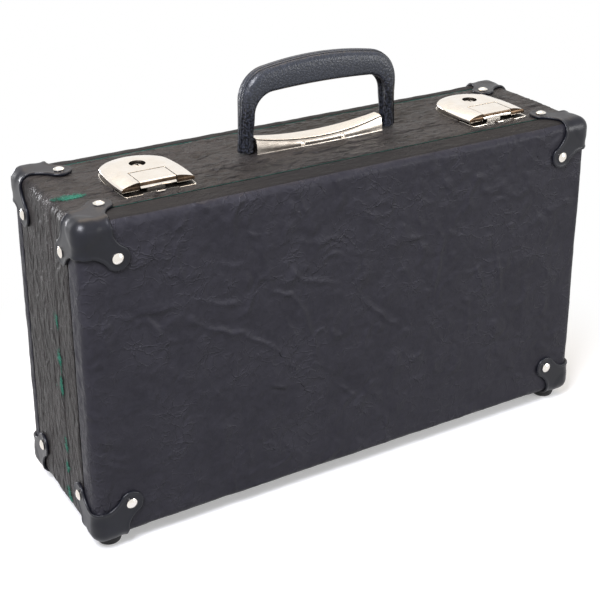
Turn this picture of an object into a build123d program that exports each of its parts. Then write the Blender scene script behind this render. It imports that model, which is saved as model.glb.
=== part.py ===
from build123d import *
from math import asin, cos, sin
import os

os.makedirs("parts", exist_ok=True)

# Keyboard case standing on its feet: a shallow lid and a deeper base, boarded, covered and lined.
# Row frame: X along the length, -Y is the lid's face, +Z up, origin on the floor under the middle.
# Latches and handle: heights called "up" are from the top covering, depths called "at", "front" and
# "back" from the seam, backwards.

# Closed case, over its covering
case_length = 490.0
case_height = 275.0
case_depth = 145.0
lid_depth = 55.0
edge_round = 8.0
foot_height = 10.0
seam_gap = 0.6

# Boards, covering and lining
wall_t = 6.0
panel_t = 4.0
cover_t = 1.0
lining_t = 2.0
lid_wrap = 24.5
base_wrap = 16.0
groove_w = 0.8
rim_seat = 12.0
rim_reach = 5.0
rim_clear = 0.5

# Corner guards, their rivets and the feet
guard_t = 2.8
guard_flare = 28.0
guard_neck = 27.0
guard_neck_at = 9.0
guard_tip_r = 10.5
guard_leg_depth = 14.0
rivet_inset = 30.0
rivet_head_r = 4.5
rivet_head_h = 2.0
rivet_shank_r = 1.6
foot_inset = 16.0
foot_r = 10.5
foot_base_r = 9.3
foot_stud_r = 2.5

# Butt hinges under the seam
hinge_pitch = 300.0
hinge_w = 40.0
hinge_leaf_reach = 22.0
hinge_leaf_t = 1.2
hinge_pin_r = 1.2
knuckle_r = 2.7
knuckle_lift = 0.4
knuckle_count = 5
knuckle_gap = 0.15
pin_clear = 0.05
hinge_rivet_head_r = 2.2
hinge_rivet_head_h = 0.8
hinge_rivet_r = 1.2
hinge_rivet_pitch = 26.0

# Latches
hardware_offset = 5.0
latch_pitch = 333.0
plate_t = 1.0
plate_half = 31.0
catch_half = 30.0
catch_front = -21.5
catch_edge_gap = 0.5
cover_sheet = 1.0
cover_front = -16.0
cover_bulge = 32.0
cover_corner = (29.0, 37.0)
cover_back = 52.0
cover_rim_up = 4.0
cover_top_up = 9.0
cover_flank = 4.5
hasp_half = 15.5
hasp_side_gap = 0.4
hasp_front = -15.5
hasp_sheet = 1.2
hasp_lip_up = 3.4
hasp_pin_at = 4.5
hasp_pin_up = 6.2
hasp_pin_r = 1.2
hasp_knuckle_r = 2.4
hasp_window_gap = 0.7
lug_t = 1.2
lug_half = 2.5
keeper_half = 8.0
keeper_front = -11.5
keeper_len = 4.0
keeper_clear = 0.3
spring_half = 4.0
spring_t = 0.5
spring_foot = (7.0, 15.0)
spring_tip = -8.5
spring_gap = 0.3
lock_at = 25.0
lock_r = 7.3
lock_sink = 1.4
lock_neck_r = 4.0
lock_shoulder_up = 3.2
cup_wall = 1.0
cam_reach = 11.5
cam_half = 3.0
cam_t = 1.2
cam_up = 1.6
keyhole_r = 1.5
keyway_w = 1.3
keyway_len = 4.5
keyhole_deep = 4.0
latch_rivet_r = 1.5
latch_rivet_head_r = 2.5
latch_rivet_head_h = 1.0
latch_rivet_spots = ((-22.0, 15.0), (22.0, 15.0), (-18.0, 37.0), (18.0, 37.0))
catch_rivet_spots = ((-22.0, -9.0), (22.0, -9.0))

# Handle and its plate
handle_at = 22.5
handle_half = 77.0
handle_top = 78.0
handle_arch = 4.2
handle_round = 22.0
leg_x = 12.0
leg_bottom_up = 2.0
leg_half_depth = 6.5
leg_end_round = 4.0
grip_drop = 24.0
grip_inner_arch = 2.0
grip_inner_round = 19.0
grip_half_depth = 9.0
leg_straight_up = 20.0
leg_widened_up = 45.0
grip_edge_round = 3.0
pivot_up = 7.0
pivot_r = 2.0
pivot_clear = 0.05
pivot_in_leg = 9.5
pivot_in_block = 11.0
bore_in_leg = 10.0
block_end = 59.0
block_half = 4.3
block_top = 9.4
saddle_half = 60.25
saddle_end_up = 13.5
saddle_mid_up = 7.0
saddle_sheet = 1.2
saddle_foot_half = 10.5
saddle_strip_half = 6.0
saddle_stations = 5
screw_x = 20.0
screw_y = 8.2
screw_seat_up = 3.2
screw_head_r = 1.9
screw_head_h = 1.2
screw_r = 1.2

# Places that follow from the sizes above
x_left = -case_length / 2
x_right = case_length / 2
y_front = -case_depth / 2
y_back = case_depth / 2
z_low = foot_height
z_top = foot_height + case_height
z_mid = (z_low + z_top) / 2
y_seam = y_front + lid_depth
y_lid_edge = y_seam - seam_gap / 2
y_base_edge = y_seam + seam_gap / 2
wall_in = cover_t + wall_t
panel_in = cover_t + panel_t
room_x = case_length / 2 - wall_in
room_y = case_depth / 2 - panel_in
room_low = z_low + wall_in
room_top = z_top - wall_in
well = 50.0


def span(x0, x1, y0, y1, z0, z1):
    """Block between two corners."""
    middle = Pos((x0 + x1) / 2, (y0 + y1) / 2, (z0 + z1) / 2)
    return middle * Box(x1 - x0, y1 - y0, z1 - z0)


def rod(x, y, z0, z1, radius):
    """Upright round bar."""
    return Pos(x, y, (z0 + z1) / 2) * Cylinder(radius, z1 - z0)


def bar_x(x0, x1, y, z, radius):
    """Round bar along X."""
    return Pos((x0 + x1) / 2, y, z) * Rot(0, 90, 0) * Cylinder(radius, x1 - x0)


def slab_x(points, x0, x1):
    """Outline in (y, z), pushed along X."""
    face = make_face(Polyline(*points, close=True))
    side = Plane(origin=(x0, 0, 0), x_dir=(0, 1, 0), z_dir=(1, 0, 0))
    return extrude(side * face, x1 - x0)


def case_block(inset):
    """Whole closed case, this far inside the covering's surface, with its edges rounded."""
    block = span(x_left + inset, x_right - inset, y_front + inset, y_back - inset,
                 z_low + inset, z_top - inset)
    return fillet(block.edges(), edge_round - inset)


def depth_slab(y0, y1):
    """Everything between two depths."""
    return span(x_left - well, x_right + well, y0, y1, z_low - well, z_top + well)


def fastener(head_r, head_h, shank_r, grip):
    """Domed rivet standing on z = 0, its shank below."""
    dome_r = (head_r ** 2 + head_h ** 2) / (2 * head_h)
    half_turn = asin(head_r / dome_r) / 2
    halfway = (dome_r * sin(half_turn), head_h - dome_r + dome_r * cos(half_turn))
    crown = ThreePointArc((head_r, 0), halfway, (0, head_h))
    rest = Polyline((0, head_h), (0, -grip), (shank_r, -grip), (shank_r, 0), (head_r, 0))
    return revolve(Plane.XZ * make_face(crown + rest), Axis.Z)


def seated(piece, point, outward):
    """A fastener put at a point of a face, its head outwards."""
    return Plane(origin=point, z_dir=outward).location * piece


def at_depth(value):
    """Row Y of a distance behind the seam, less than zero in front of it."""
    return y_seam + value


def up(value):
    """Row Z of a height above the top covering."""
    return z_top + value


# Corner guards: three tongues over one rounded corner, made once and mirrored to all eight
envelope = case_block(0)


def tongue():
    """Outline of one leg on its face, from the case's sharp corner."""
    out = -guard_t - 1
    side = rivet_inset + guard_tip_r * 0.7071
    near = rivet_inset - guard_tip_r * 0.7071
    edges = Line((out, out), (guard_flare, out))
    edges += ThreePointArc((guard_flare, out), (guard_neck, guard_neck_at), (side, near))
    edges += ThreePointArc((side, near), (side, side), (near, side))
    edges += ThreePointArc((near, side), (guard_neck_at, guard_neck), (out, guard_flare))
    edges += Line((out, guard_flare), (out, out))
    return make_face(edges)


def make_guard():
    corner = (x_left, y_front, z_top)
    planes = (Plane(origin=corner, x_dir=(1, 0, 0), z_dir=(0, 1, 0)),
              Plane(origin=corner, x_dir=(1, 0, 0), z_dir=(0, 0, 1)),
              Plane(origin=corner, x_dir=(0, 1, 0), z_dir=(-1, 0, 0)))
    legs = None
    for plane in planes:
        leg = extrude(plane * tongue(), guard_leg_depth, both=True)
        legs = leg if legs is None else legs + leg
    return (case_block(-guard_t) - envelope) & legs


def to_corner(piece, right, back, low):
    """Mirror a piece of the front left top corner to another corner."""
    if right:
        piece = mirror(piece, about=Plane.YZ)
    if back:
        piece = mirror(piece, about=Plane.XZ)
    if low:
        piece = mirror(piece, about=Plane.XY.offset(z_mid))
    return piece


def make_guard_rivets():
    """The three rivets of the front left top guard."""
    x = x_left + rivet_inset
    y = y_front + rivet_inset
    z = z_top - rivet_inset
    through_wall = fastener(rivet_head_r, rivet_head_h, rivet_shank_r, guard_t + wall_in)
    through_panel = fastener(rivet_head_r, rivet_head_h, rivet_shank_r, guard_t + panel_in)
    return [seated(through_panel, (x, y_front - guard_t, z), (0, -1, 0)),
            seated(through_wall, (x, y, z_top + guard_t), (0, 0, 1)),
            seated(through_wall, (x_left - guard_t, y, z), (-1, 0, 0))]


def make_foot():
    """Round foot of the front left corner, its stud up through the guard and the board."""
    z_seat = z_low - guard_t
    profile = Polyline((0, 0), (foot_base_r, 0), (foot_r, z_seat * 0.35), (foot_r, z_seat),
                       (foot_stud_r, z_seat), (foot_stud_r, room_low), (0, room_low), close=True)
    foot = revolve(Plane.XZ * make_face(profile), Axis.Z)
    return Pos(x_left + foot_inset, y_front + foot_inset, 0) * foot


guard_master = make_guard()
rivet_master = make_guard_rivets()
foot_master = make_foot()
guards = {}
guard_rivets = {"lid": [], "base": []}
feet = {"lid": [], "base": []}
for half, back in (("lid", False), ("base", True)):
    for level, low in (("top", False), ("bottom", True)):
        for side, right in (("left", False), ("right", True)):
            guards[f"{half}_corner_{level}_{side}"] = to_corner(guard_master, right, back, low)
            guard_rivets[half] += [to_corner(r, right, back, low) for r in rivet_master]
    for right in (False, True):
        feet[half].append(to_corner(foot_master, right, back, False))


# Hinges under the seam: three knuckles on the base, two on the lid, round one pin
hinge_z = z_low - knuckle_r - knuckle_lift
knuckle_w = hinge_w / knuckle_count


def make_hinge_leaf(x_mid, side, on_base):
    """One leaf: a flat plate under the case and its own knuckles. side is +1 on the base."""
    leaf_low = z_low - hinge_leaf_t
    reach = y_seam + side * hinge_leaf_reach
    clear = y_seam + side * (knuckle_r + knuckle_lift)
    y0, y1 = sorted((clear, reach))
    leaf = span(x_mid - hinge_w / 2, x_mid + hinge_w / 2, y0, y1, leaf_low, z_low)
    bore = hinge_pin_r if on_base else hinge_pin_r + pin_clear
    start = 0 if on_base else 1
    for index in range(start, knuckle_count, 2):
        x0 = x_mid - hinge_w / 2 + index * knuckle_w + knuckle_gap
        x1 = x0 + knuckle_w - 2 * knuckle_gap
        w0, w1 = sorted((y_seam + side * seam_gap / 2, clear))
        leaf += bar_x(x0, x1, y_seam, hinge_z, knuckle_r)
        leaf += span(x0, x1, w0, w1, leaf_low, z_low)
        k0, k1 = sorted((y_seam + side * seam_gap / 2, y_seam + side * knuckle_r))
        leaf += span(x0, x1, k0, k1, hinge_z, z_low)
    return leaf - bar_x(x_mid - hinge_w, x_mid + hinge_w, y_seam, hinge_z, bore)


def make_hinge_rivets(x_mid, side):
    piece = fastener(hinge_rivet_head_r, hinge_rivet_head_h, hinge_rivet_r,
                     hinge_leaf_t + wall_in)
    y = y_seam + side * (hinge_leaf_reach + knuckle_r + knuckle_lift) / 2
    return [seated(piece, (x_mid + dx, y, z_low - hinge_leaf_t), (0, 0, -1))
            for dx in (-hinge_rivet_pitch / 2, hinge_rivet_pitch / 2)]


hinge_parts = {}
hinge_rivets = {"lid": [], "base": []}
for name, x_mid in (("left", -hinge_pitch / 2), ("right", hinge_pitch / 2)):
    lid_leaf = make_hinge_leaf(x_mid, -1, False)
    base_leaf = make_hinge_leaf(x_mid, 1, True)
    for rivet in make_hinge_rivets(x_mid, -1):
        hinge_rivets["lid"].append(rivet)
        lid_leaf -= rivet
    for rivet in make_hinge_rivets(x_mid, 1):
        hinge_rivets["base"].append(rivet)
        base_leaf -= rivet
    hinge_parts[f"{name}_hinge_lid_leaf"] = lid_leaf
    hinge_parts[f"{name}_hinge_base_leaf"] = base_leaf
    hinge_parts[f"{name}_hinge_pin"] = bar_x(x_mid - hinge_w / 2 + knuckle_gap,
                                             x_mid + hinge_w / 2 - knuckle_gap,
                                             y_seam, hinge_z, hinge_pin_r)


# Latches: a base plate, a raised cover, a sprung hasp and a lock on the base, a catch on the lid
def latch_outline(inset, front):
    """Plan outline of the cover: bulged sides, a round back, straight in front."""
    half = plate_half - inset
    corner_x = cover_corner[0] - inset
    corner_y = at_depth(cover_corner[1]) - inset / 2
    y0 = at_depth(front)
    y_side = (y0 + corner_y) / 2
    edges = Line((-half, y0), (half, y0))
    edges += ThreePointArc((half, y0), (cover_bulge - inset, y_side), (corner_x, corner_y))
    edges += ThreePointArc((corner_x, corner_y), (0, at_depth(cover_back) - inset),
                           (-corner_x, corner_y))
    edges += ThreePointArc((-corner_x, corner_y), (inset - cover_bulge, y_side), (-half, y0))
    return make_face(edges)


def latch_dome(inset, low_up, rim_up, top_up):
    """Skirt and sloping flanks up to a flat top; the outline runs on in front."""
    ahead = cover_front - 3 * cover_flank
    skirt = extrude(Pos(0, 0, up(low_up)) * latch_outline(inset, ahead), rim_up - low_up)
    foot = Pos(0, 0, up(rim_up)) * latch_outline(inset, ahead)
    head = Pos(0, 0, up(top_up)) * latch_outline(inset + cover_flank, ahead)
    return skirt + loft([foot, head])


def make_latch_cover():
    inner_top = cover_top_up - cover_sheet
    cover = latch_dome(0, plate_t, cover_rim_up, cover_top_up)
    cover -= latch_dome(cover_sheet, plate_t - 1, cover_rim_up, inner_top)
    cup_r = lock_r + pin_clear
    cover += rod(0, at_depth(lock_at), up(cover_rim_up), up(inner_top), cup_r + cup_wall)
    cover -= rod(0, at_depth(lock_at), up(0), up(cover_top_up + 1), cup_r)
    window_back = at_depth(hasp_pin_at) + hasp_knuckle_r + hasp_window_gap
    window_half = hasp_half + hasp_side_gap
    cover -= span(-window_half, window_half, y_front - well, window_back, up(-1), up(well))
    cover -= span(-well, well, y_front - well, at_depth(cover_front), up(-1), up(well))
    # over the lid the skirt stands clear of the catch plate, which swings away under it
    lid_side = span(-well, well, y_front - well, y_base_edge, up(0), up(plate_t + keeper_clear))
    return cover - lid_side


def make_latch_plate():
    plate = extrude(Pos(0, 0, z_top) * latch_outline(0, 0), plate_t)
    plate &= depth_slab(y_base_edge, y_back)
    pin_y = at_depth(hasp_pin_at)
    lug_in = hasp_half + hasp_side_gap
    for side in (-1, 1):
        x0, x1 = sorted((side * lug_in, side * (lug_in + lug_t)))
        plate += span(x0, x1, pin_y - lug_half, pin_y + lug_half, z_top,
                      up(cover_top_up - cover_sheet - keeper_clear))
    return plate - bar_x(-well, well, pin_y, up(hasp_pin_up), hasp_pin_r)


def make_hasp():
    """Lifting tab: a knuckle round its pin, a flat top and a lip turned down over the catch."""
    front = at_depth(hasp_front)
    pin_y = at_depth(hasp_pin_at)
    top = up(cover_top_up)
    under = top - hasp_sheet
    shoulder = 2.5 * hasp_sheet
    outline = ((pin_y + 1, top), (front + shoulder, top), (front, top - shoulder),
               (front, up(hasp_lip_up)), (front + hasp_sheet, up(hasp_lip_up)),
               (front + hasp_sheet, top - 1.2 * shoulder), (front + 1.2 * shoulder, under),
               (pin_y + 1, under))
    hasp = slab_x(outline, -hasp_half, hasp_half)
    hasp += bar_x(-hasp_half, hasp_half, pin_y, up(hasp_pin_up), hasp_knuckle_r)
    return hasp - bar_x(-well, well, pin_y, up(hasp_pin_up), hasp_pin_r + pin_clear)


def make_hasp_spring():
    """Leaf spring: its foot on the plate, its tip just under the hasp."""
    foot_front, foot_back = (at_depth(d) for d in spring_foot)
    tip = at_depth(spring_tip)
    seat = up(plate_t)
    tip_top = up(cover_top_up) - hasp_sheet - spring_gap
    outline = ((foot_back, seat), (foot_back, seat + spring_t), (foot_front, seat + spring_t),
               (tip, tip_top), (tip, tip_top - spring_t), (foot_front, seat))
    return slab_x(outline, -spring_half, spring_half)


def make_lock():
    """Turning lock barrel in its cup, with the keyhole above and the cam below."""
    y = at_depth(lock_at)
    top = up(cover_top_up - lock_sink)
    lock = rod(0, y, up(lock_shoulder_up), top, lock_r)
    lock += rod(0, y, up(plate_t), up(lock_shoulder_up), lock_neck_r)
    lock += span(0, cam_reach, y - cam_half, y + cam_half, up(cam_up), up(cam_up + cam_t))
    lock -= rod(0, y, top - keyhole_deep, top + 1, keyhole_r)
    return lock - span(-keyway_w / 2, keyway_w / 2, y - keyway_len, y, top - keyhole_deep, top + 1)


def make_catch_plate():
    plate = span(-catch_half, catch_half, at_depth(catch_front), y_lid_edge - catch_edge_gap,
                 z_top, up(plate_t))
    keeper_y = at_depth(keeper_front)
    return plate + span(-keeper_half, keeper_half, keeper_y, keeper_y + keeper_len, z_top,
                        up(hasp_lip_up - keeper_clear))


latch_parts = {}
latch_rivets = []
catch_rivets = []
for name, x_mid in (("left", hardware_offset - latch_pitch / 2),
                    ("right", hardware_offset + latch_pitch / 2)):
    move = Pos(x_mid, 0, 0)
    rivet = fastener(latch_rivet_head_r, latch_rivet_head_h, latch_rivet_r, plate_t + wall_in)
    base_rivets = [Pos(x_mid + x, at_depth(d), up(plate_t)) * rivet for x, d in latch_rivet_spots]
    lid_rivets = [Pos(x_mid + x, at_depth(d), up(plate_t)) * rivet for x, d in catch_rivet_spots]
    latch_rivets += base_rivets
    catch_rivets += lid_rivets
    plate = move * make_latch_plate()
    catch = move * make_catch_plate()
    for piece in base_rivets:
        plate -= piece
    for piece in lid_rivets:
        catch -= piece
    latch_parts[f"{name}_latch_plate"] = plate
    latch_parts[f"{name}_latch_cover"] = move * make_latch_cover()
    latch_parts[f"{name}_hasp"] = move * make_hasp()
    pin_half = hasp_half + hasp_side_gap + lug_t
    latch_parts[f"{name}_hasp_pin"] = bar_x(x_mid - pin_half, x_mid + pin_half,
                                            at_depth(hasp_pin_at), up(hasp_pin_up), hasp_pin_r)
    latch_parts[f"{name}_hasp_spring"] = move * make_hasp_spring()
    latch_parts[f"{name}_lock"] = move * make_lock()
    latch_parts[f"{name}_catch_plate"] = catch


# Handle: a moulded grip that swings on two pins, over a saddle-shaped plate
def saddle_height(x):
    return saddle_mid_up + (saddle_end_up - saddle_mid_up) * (x / saddle_half) ** 2


def saddle_solid(inset, run_on):
    """Lofted saddle, this far inside its outer sheet surface, and this much longer."""
    sections = []
    for index in range(saddle_stations):
        x = (2 * index / (saddle_stations - 1) - 1) * (saddle_half + run_on)
        height = saddle_height(x) - inset
        foot = saddle_foot_half - inset
        strip = saddle_strip_half - inset / 2
        face = make_face(Polyline((-foot, -inset), (foot, -inset), (strip, height),
                                  (-strip, height), close=True))
        station = Plane(origin=(x, at_depth(handle_at), z_top), x_dir=(0, 1, 0), z_dir=(1, 0, 0))
        sections.append(station * face)
    return loft(sections)


def make_grip():
    """Handle outline with an arched top, its legs narrower towards the pins."""
    def arch(half, top, drop, corner, bottom):
        edges = Line((-half, bottom), (-half, top - drop))
        edges += ThreePointArc((-half, top - drop), (0, top), (half, top - drop))
        edges += Polyline((half, top - drop), (half, bottom), (-half, bottom))
        face = make_face(edges)
        return fillet(face.vertices().group_by(Axis.Y)[-1], corner)
    outer = arch(handle_half, handle_top, handle_arch, handle_round, leg_bottom_up)
    inner = arch(handle_half - leg_x, handle_top - grip_drop, grip_inner_arch, grip_inner_round,
                 leg_bottom_up - 1)
    front = Plane(origin=(0, at_depth(handle_at) + grip_half_depth, z_top), x_dir=(1, 0, 0),
                  z_dir=(0, -1, 0))
    blank = extrude(front * (outer - inner), 2 * grip_half_depth)
    half_section = ((leg_half_depth, leg_bottom_up), (leg_half_depth, leg_straight_up),
                    (grip_half_depth, leg_widened_up), (grip_half_depth, handle_top + 1))
    mirrored = tuple((-y, z) for y, z in reversed(half_section))
    section = make_face(Polyline(*(half_section + mirrored), close=True))
    section = fillet(section.vertices().group_by(Axis.Y)[0], leg_end_round)
    side = Plane(origin=(-handle_half - 1, at_depth(handle_at), z_top), x_dir=(0, 1, 0),
                 z_dir=(1, 0, 0))
    grip = blank & extrude(side * section, 2 * handle_half + 2)
    rims = grip.edges().filter_by(Axis.Y, reverse=True).filter_by(Axis.X, reverse=True)
    return fillet(rims, grip_edge_round)


grip = make_grip()
pivot_y = at_depth(handle_at)
pivot_z = up(pivot_up)
leg_inner = handle_half - leg_x
blocks = []
pivots = []
for side in (-1, 1):
    b0, b1 = sorted((side * (block_end - pivot_in_block - 1), side * block_end))
    block = span(b0, b1, pivot_y - block_half, pivot_y + block_half, z_top, up(block_top))
    p0, p1 = sorted((side * (block_end - pivot_in_block), side * (leg_inner + pivot_in_leg)))
    pivot = bar_x(p0, p1, pivot_y, pivot_z, pivot_r)
    g0, g1 = sorted((side * leg_inner, side * (leg_inner + bore_in_leg)))
    grip -= bar_x(g0, g1, pivot_y, pivot_z, pivot_r + pivot_clear)
    blocks.append(block - pivot)
    pivots.append(pivot)

saddle = saddle_solid(0, 0) - saddle_solid(saddle_sheet, saddle_sheet)
screws = []
screw = fastener(screw_head_r, screw_head_h, screw_r, screw_seat_up + wall_in)
for x in (-screw_x, screw_x):
    for y in (-screw_y, screw_y):
        spot = (x, pivot_y + y, up(screw_seat_up))
        screws.append(Pos(*spot) * screw)
        saddle -= rod(spot[0], spot[1], spot[2], spot[2] + well, screw_head_r)
        saddle -= rod(spot[0], spot[1], z_top - 1, spot[2], screw_r)

centred = Pos(hardware_offset, 0, 0)
handle_parts = {
    "handle_grip": centred * grip,
    "handle_plate": centred * saddle,
    "handle_pivot_blocks": Compound([centred * b for b in blocks]),
    "handle_pivot_pins": Compound([centred * p for p in pivots]),
    "handle_plate_screws": Compound([centred * s for s in screws]),
}
screws = [centred * s for s in screws]


# Boards, covers and linings of the two halves, drilled for everything that passes through them
drilled = {
    "lid": guard_rivets["lid"] + feet["lid"] + hinge_rivets["lid"] + catch_rivets,
    "base": guard_rivets["base"] + feet["base"] + hinge_rivets["base"] + latch_rivets + screws,
}
room = span(-room_x, room_x, -room_y, room_y, room_low, room_top)
carcass = case_block(cover_t) - room
skin = envelope - case_block(cover_t)
far = well + case_length
regions = {
    "top_board": span(-far, far, -room_y, room_y, room_top, far),
    "bottom_board": span(-far, far, -room_y, room_y, -far, room_low),
    "left_board": span(-far, -room_x, -room_y, room_y, room_low, room_top),
    "right_board": span(room_x, far, -room_y, room_y, room_low, room_top),
}
halves = {
    "lid": depth_slab(y_front - well, y_lid_edge),
    "base": depth_slab(y_base_edge, y_back + well),
}
panels = {
    "lid": depth_slab(y_front - well, -room_y),
    "base": depth_slab(room_y, y_back + well),
}
lid_groove = y_front + lid_wrap
base_groove = y_back - base_wrap
wraps = {
    "lid": (depth_slab(y_front - well, lid_groove - groove_w / 2),
            depth_slab(lid_groove + groove_w / 2, y_lid_edge)),
    "base": (depth_slab(base_groove + groove_w / 2, y_back + well),
             depth_slab(y_base_edge, base_groove - groove_w / 2)),
}


def bored(piece, fasteners):
    for item in fasteners:
        piece -= item
    return piece


shell_parts = {}
for half in ("lid", "base"):
    shell_parts[f"{half}_panel"] = bored(carcass & panels[half], drilled[half])
    for board, region in regions.items():
        shell_parts[f"{half}_{board}"] = bored(carcass & halves[half] & region, drilled[half])
    face_region, band_region = wraps[half]
    shell_parts[f"{half}_face_cover"] = bored(skin & face_region, drilled[half])
    shell_parts[f"{half}_band_cover"] = bored(skin & band_region, drilled[half])


def ring(grow, y0, y1):
    """Frame round the room, this far inside the boards, one lining thickness wide."""
    outer = span(-room_x + grow, room_x - grow, y0, y1, room_low + grow, room_top - grow)
    inner = span(-room_x + lining_t, room_x - lining_t, y0 - 1, y1 + 1,
                 room_low + lining_t, room_top - lining_t)
    return outer - inner


rim_low = y_base_edge + rim_seat
rim_tip = y_lid_edge - rim_reach
shell_parts["locating_rim"] = (ring(0, y_base_edge, rim_low)
                               + ring(rim_clear, rim_tip, y_base_edge))


def tray(y_panel, y_open):
    """Lining: one sheet against the panel and the four walls."""
    low, high = sorted((y_panel, y_open))
    block = span(-room_x, room_x, low, high, room_low, room_top)
    if y_panel < y_open:
        low += lining_t
        high += 1
    else:
        high -= lining_t
        low -= 1
    return block - span(-room_x + lining_t, room_x - lining_t, low, high,
                        room_low + lining_t, room_top - lining_t)


shell_parts["lid_lining"] = tray(-room_y, rim_tip - rim_clear)
shell_parts["base_lining"] = tray(room_y, rim_low)
for half in ("lid", "base"):
    shell_parts[f"{half}_corner_rivets"] = Compound(guard_rivets[half])
    shell_parts[f"{half}_feet"] = Compound(feet[half])
    shell_parts[f"{half}_hinge_rivets"] = Compound(hinge_rivets[half])
for name, guard in guards.items():
    shell_parts[name] = bored(guard, drilled[name.split("_")[0]])
shell_parts["latch_rivets"] = Compound(latch_rivets)
shell_parts["catch_rivets"] = Compound(catch_rivets)

parts = {**shell_parts, **hinge_parts, **latch_parts, **handle_parts}
for name, piece in parts.items():
    export_step(piece, f"parts/{name}.step")
print(len(parts), "nodes written")
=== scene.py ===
import math

import bmesh
import bpy
import numpy as np
from mathutils import Matrix, Vector
from mathutils.kdtree import KDTree


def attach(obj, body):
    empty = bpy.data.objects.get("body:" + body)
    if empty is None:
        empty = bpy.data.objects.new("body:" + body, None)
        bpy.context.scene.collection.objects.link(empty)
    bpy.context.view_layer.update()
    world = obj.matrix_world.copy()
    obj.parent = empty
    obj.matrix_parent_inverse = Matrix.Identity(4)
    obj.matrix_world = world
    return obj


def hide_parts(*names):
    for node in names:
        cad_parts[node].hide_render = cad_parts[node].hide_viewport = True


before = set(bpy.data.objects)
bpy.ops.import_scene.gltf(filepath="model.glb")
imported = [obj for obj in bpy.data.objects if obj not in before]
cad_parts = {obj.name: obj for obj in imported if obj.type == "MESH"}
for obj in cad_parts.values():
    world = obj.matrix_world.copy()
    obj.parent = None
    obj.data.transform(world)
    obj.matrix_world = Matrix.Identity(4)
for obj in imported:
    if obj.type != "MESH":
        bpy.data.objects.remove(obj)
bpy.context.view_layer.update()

# Keyboard case: two boarded halves under crumpled leatherette, with corner guards, two latches,
# a handle on a saddle plate, plush linings and hinges below.
# Lengths are in millimetres until a mesh is made.
# Row frame: X along the length, -Y is the lid's face, +Z up, the floor at 0.
MM = 0.001
case_low = np.array((-245.0, -72.5, 10.0))
case_high = np.array((245.0, 72.5, 285.0))
edge_round = 8.0
z_top = case_high[2]
# the coverings' cut edges: a groove round each half, and the seam between lid and base
y_lid_groove = -48.0
y_base_groove = 56.5
groove_half = 0.9
y_lid_edge = -17.8
y_base_edge = -17.2
# the film: its thickness, the spacing of its mesh, and how far it may leave its true surface
cover_t = 1.0
cover_step = 1.45
film_down = -0.7
film_up = 1.6
film_over_board = -0.85
# the corner guards hold the film flat this far in from each corner
guard_reach = 40
guard_t = 2.8
# the handle and the latches stand a little right of the middle
hardware_x = 5.0
latch_pitch = 333.0
latch_places = (("left", hardware_x - latch_pitch / 2), ("right", hardware_x + latch_pitch / 2))


# Mesh helpers

# pieces with fewer faces than this are hard goods, and get weighted normals
hard_surface_faces = 12000


def make_piece(name, points, faces, finishes, body, which=None, sharp=45):
    """A mesh object in the row frame from points in millimetres, riding on a body."""
    mesh = bpy.data.meshes.new(name)
    mesh.from_pydata((np.asarray(points) * MM).tolist(), [], [list(f) for f in faces])
    return finish_piece(name, mesh, finishes, body, which, sharp)


def finish_piece(name, mesh, finishes, body, which=None, sharp=45):
    """The mesh as a piece on a body, smooth but for its sharp edges; which picks each face's
    finish."""
    for finish in finishes:
        mesh.materials.append(finish)
    if which is not None:
        mesh.polygons.foreach_set("material_index", np.asarray(which, np.int32))
    mesh.polygons.foreach_set("use_smooth", np.ones(len(mesh.polygons), bool))
    mesh.set_sharp_from_angle(angle=math.radians(sharp))
    mesh.update()
    if len(mesh.polygons) < hard_surface_faces and "rivets" not in name:
        # flat faces keep flat shading beside their rounded edges
        work = loose_object("shading_work", mesh)
        work.modifiers.new("shading", "WEIGHTED_NORMAL").keep_sharp = True
        mesh = evaluated_mesh(work)
    piece = bpy.data.objects.new(name, mesh)
    bpy.context.scene.collection.objects.link(piece)
    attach(piece, body)
    return piece


def evaluated_mesh(obj):
    """The object's mesh with its modifiers applied; the object itself is removed."""
    depsgraph = bpy.context.evaluated_depsgraph_get()
    mesh = bpy.data.meshes.new_from_object(obj.evaluated_get(depsgraph))
    bpy.data.objects.remove(obj)
    return mesh


def loose_object(name, mesh):
    obj = bpy.data.objects.new(name, mesh)
    bpy.context.scene.collection.objects.link(obj)
    return obj


def bevelled(mesh, width, segments=3, angle=35):
    """The mesh with its sharp edges rounded to this width in millimetres."""
    obj = loose_object("edge_work", mesh)
    mod = obj.modifiers.new("edges", "BEVEL")
    mod.width = width * MM
    mod.segments = segments
    mod.limit_method = "ANGLE"
    mod.angle_limit = math.radians(angle)
    mod.use_clamp_overlap = True
    return evaluated_mesh(obj)


def cad_copy(node):
    """A merged copy of a CAD node's mesh, its flat faces made whole."""
    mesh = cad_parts[node].data.copy()
    mesh.materials.clear()
    work = bmesh.new()
    work.from_mesh(mesh)
    bmesh.ops.remove_doubles(work, verts=work.verts, dist=2e-6)
    bmesh.ops.dissolve_limit(work, angle_limit=math.radians(0.5), verts=work.verts,
                             edges=work.edges)
    work.to_mesh(mesh)
    work.free()
    return mesh


def cut(mesh, tool):
    """The mesh less the tool's solid. Both are closed."""
    target = loose_object("cut_target", mesh)
    cutter = loose_object("cut_tool", tool)
    mod = target.modifiers.new("cut", "BOOLEAN")
    mod.operation = "DIFFERENCE"
    mod.solver = "EXACT"
    mod.object = cutter
    result = evaluated_mesh(target)
    bpy.data.objects.remove(cutter)
    return result


def block_mesh(x0, x1, y0, y1, z0, z1):
    work = bmesh.new()
    bmesh.ops.create_cube(work, size=1)
    for v in work.verts:
        v.co = Vector(((x0 + x1) / 2 + v.co.x * (x1 - x0), (y0 + y1) / 2 + v.co.y * (y1 - y0),
                       (z0 + z1) / 2 + v.co.z * (z1 - z0))) * MM
    mesh = bpy.data.meshes.new("block")
    work.to_mesh(mesh)
    work.free()
    return mesh


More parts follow.
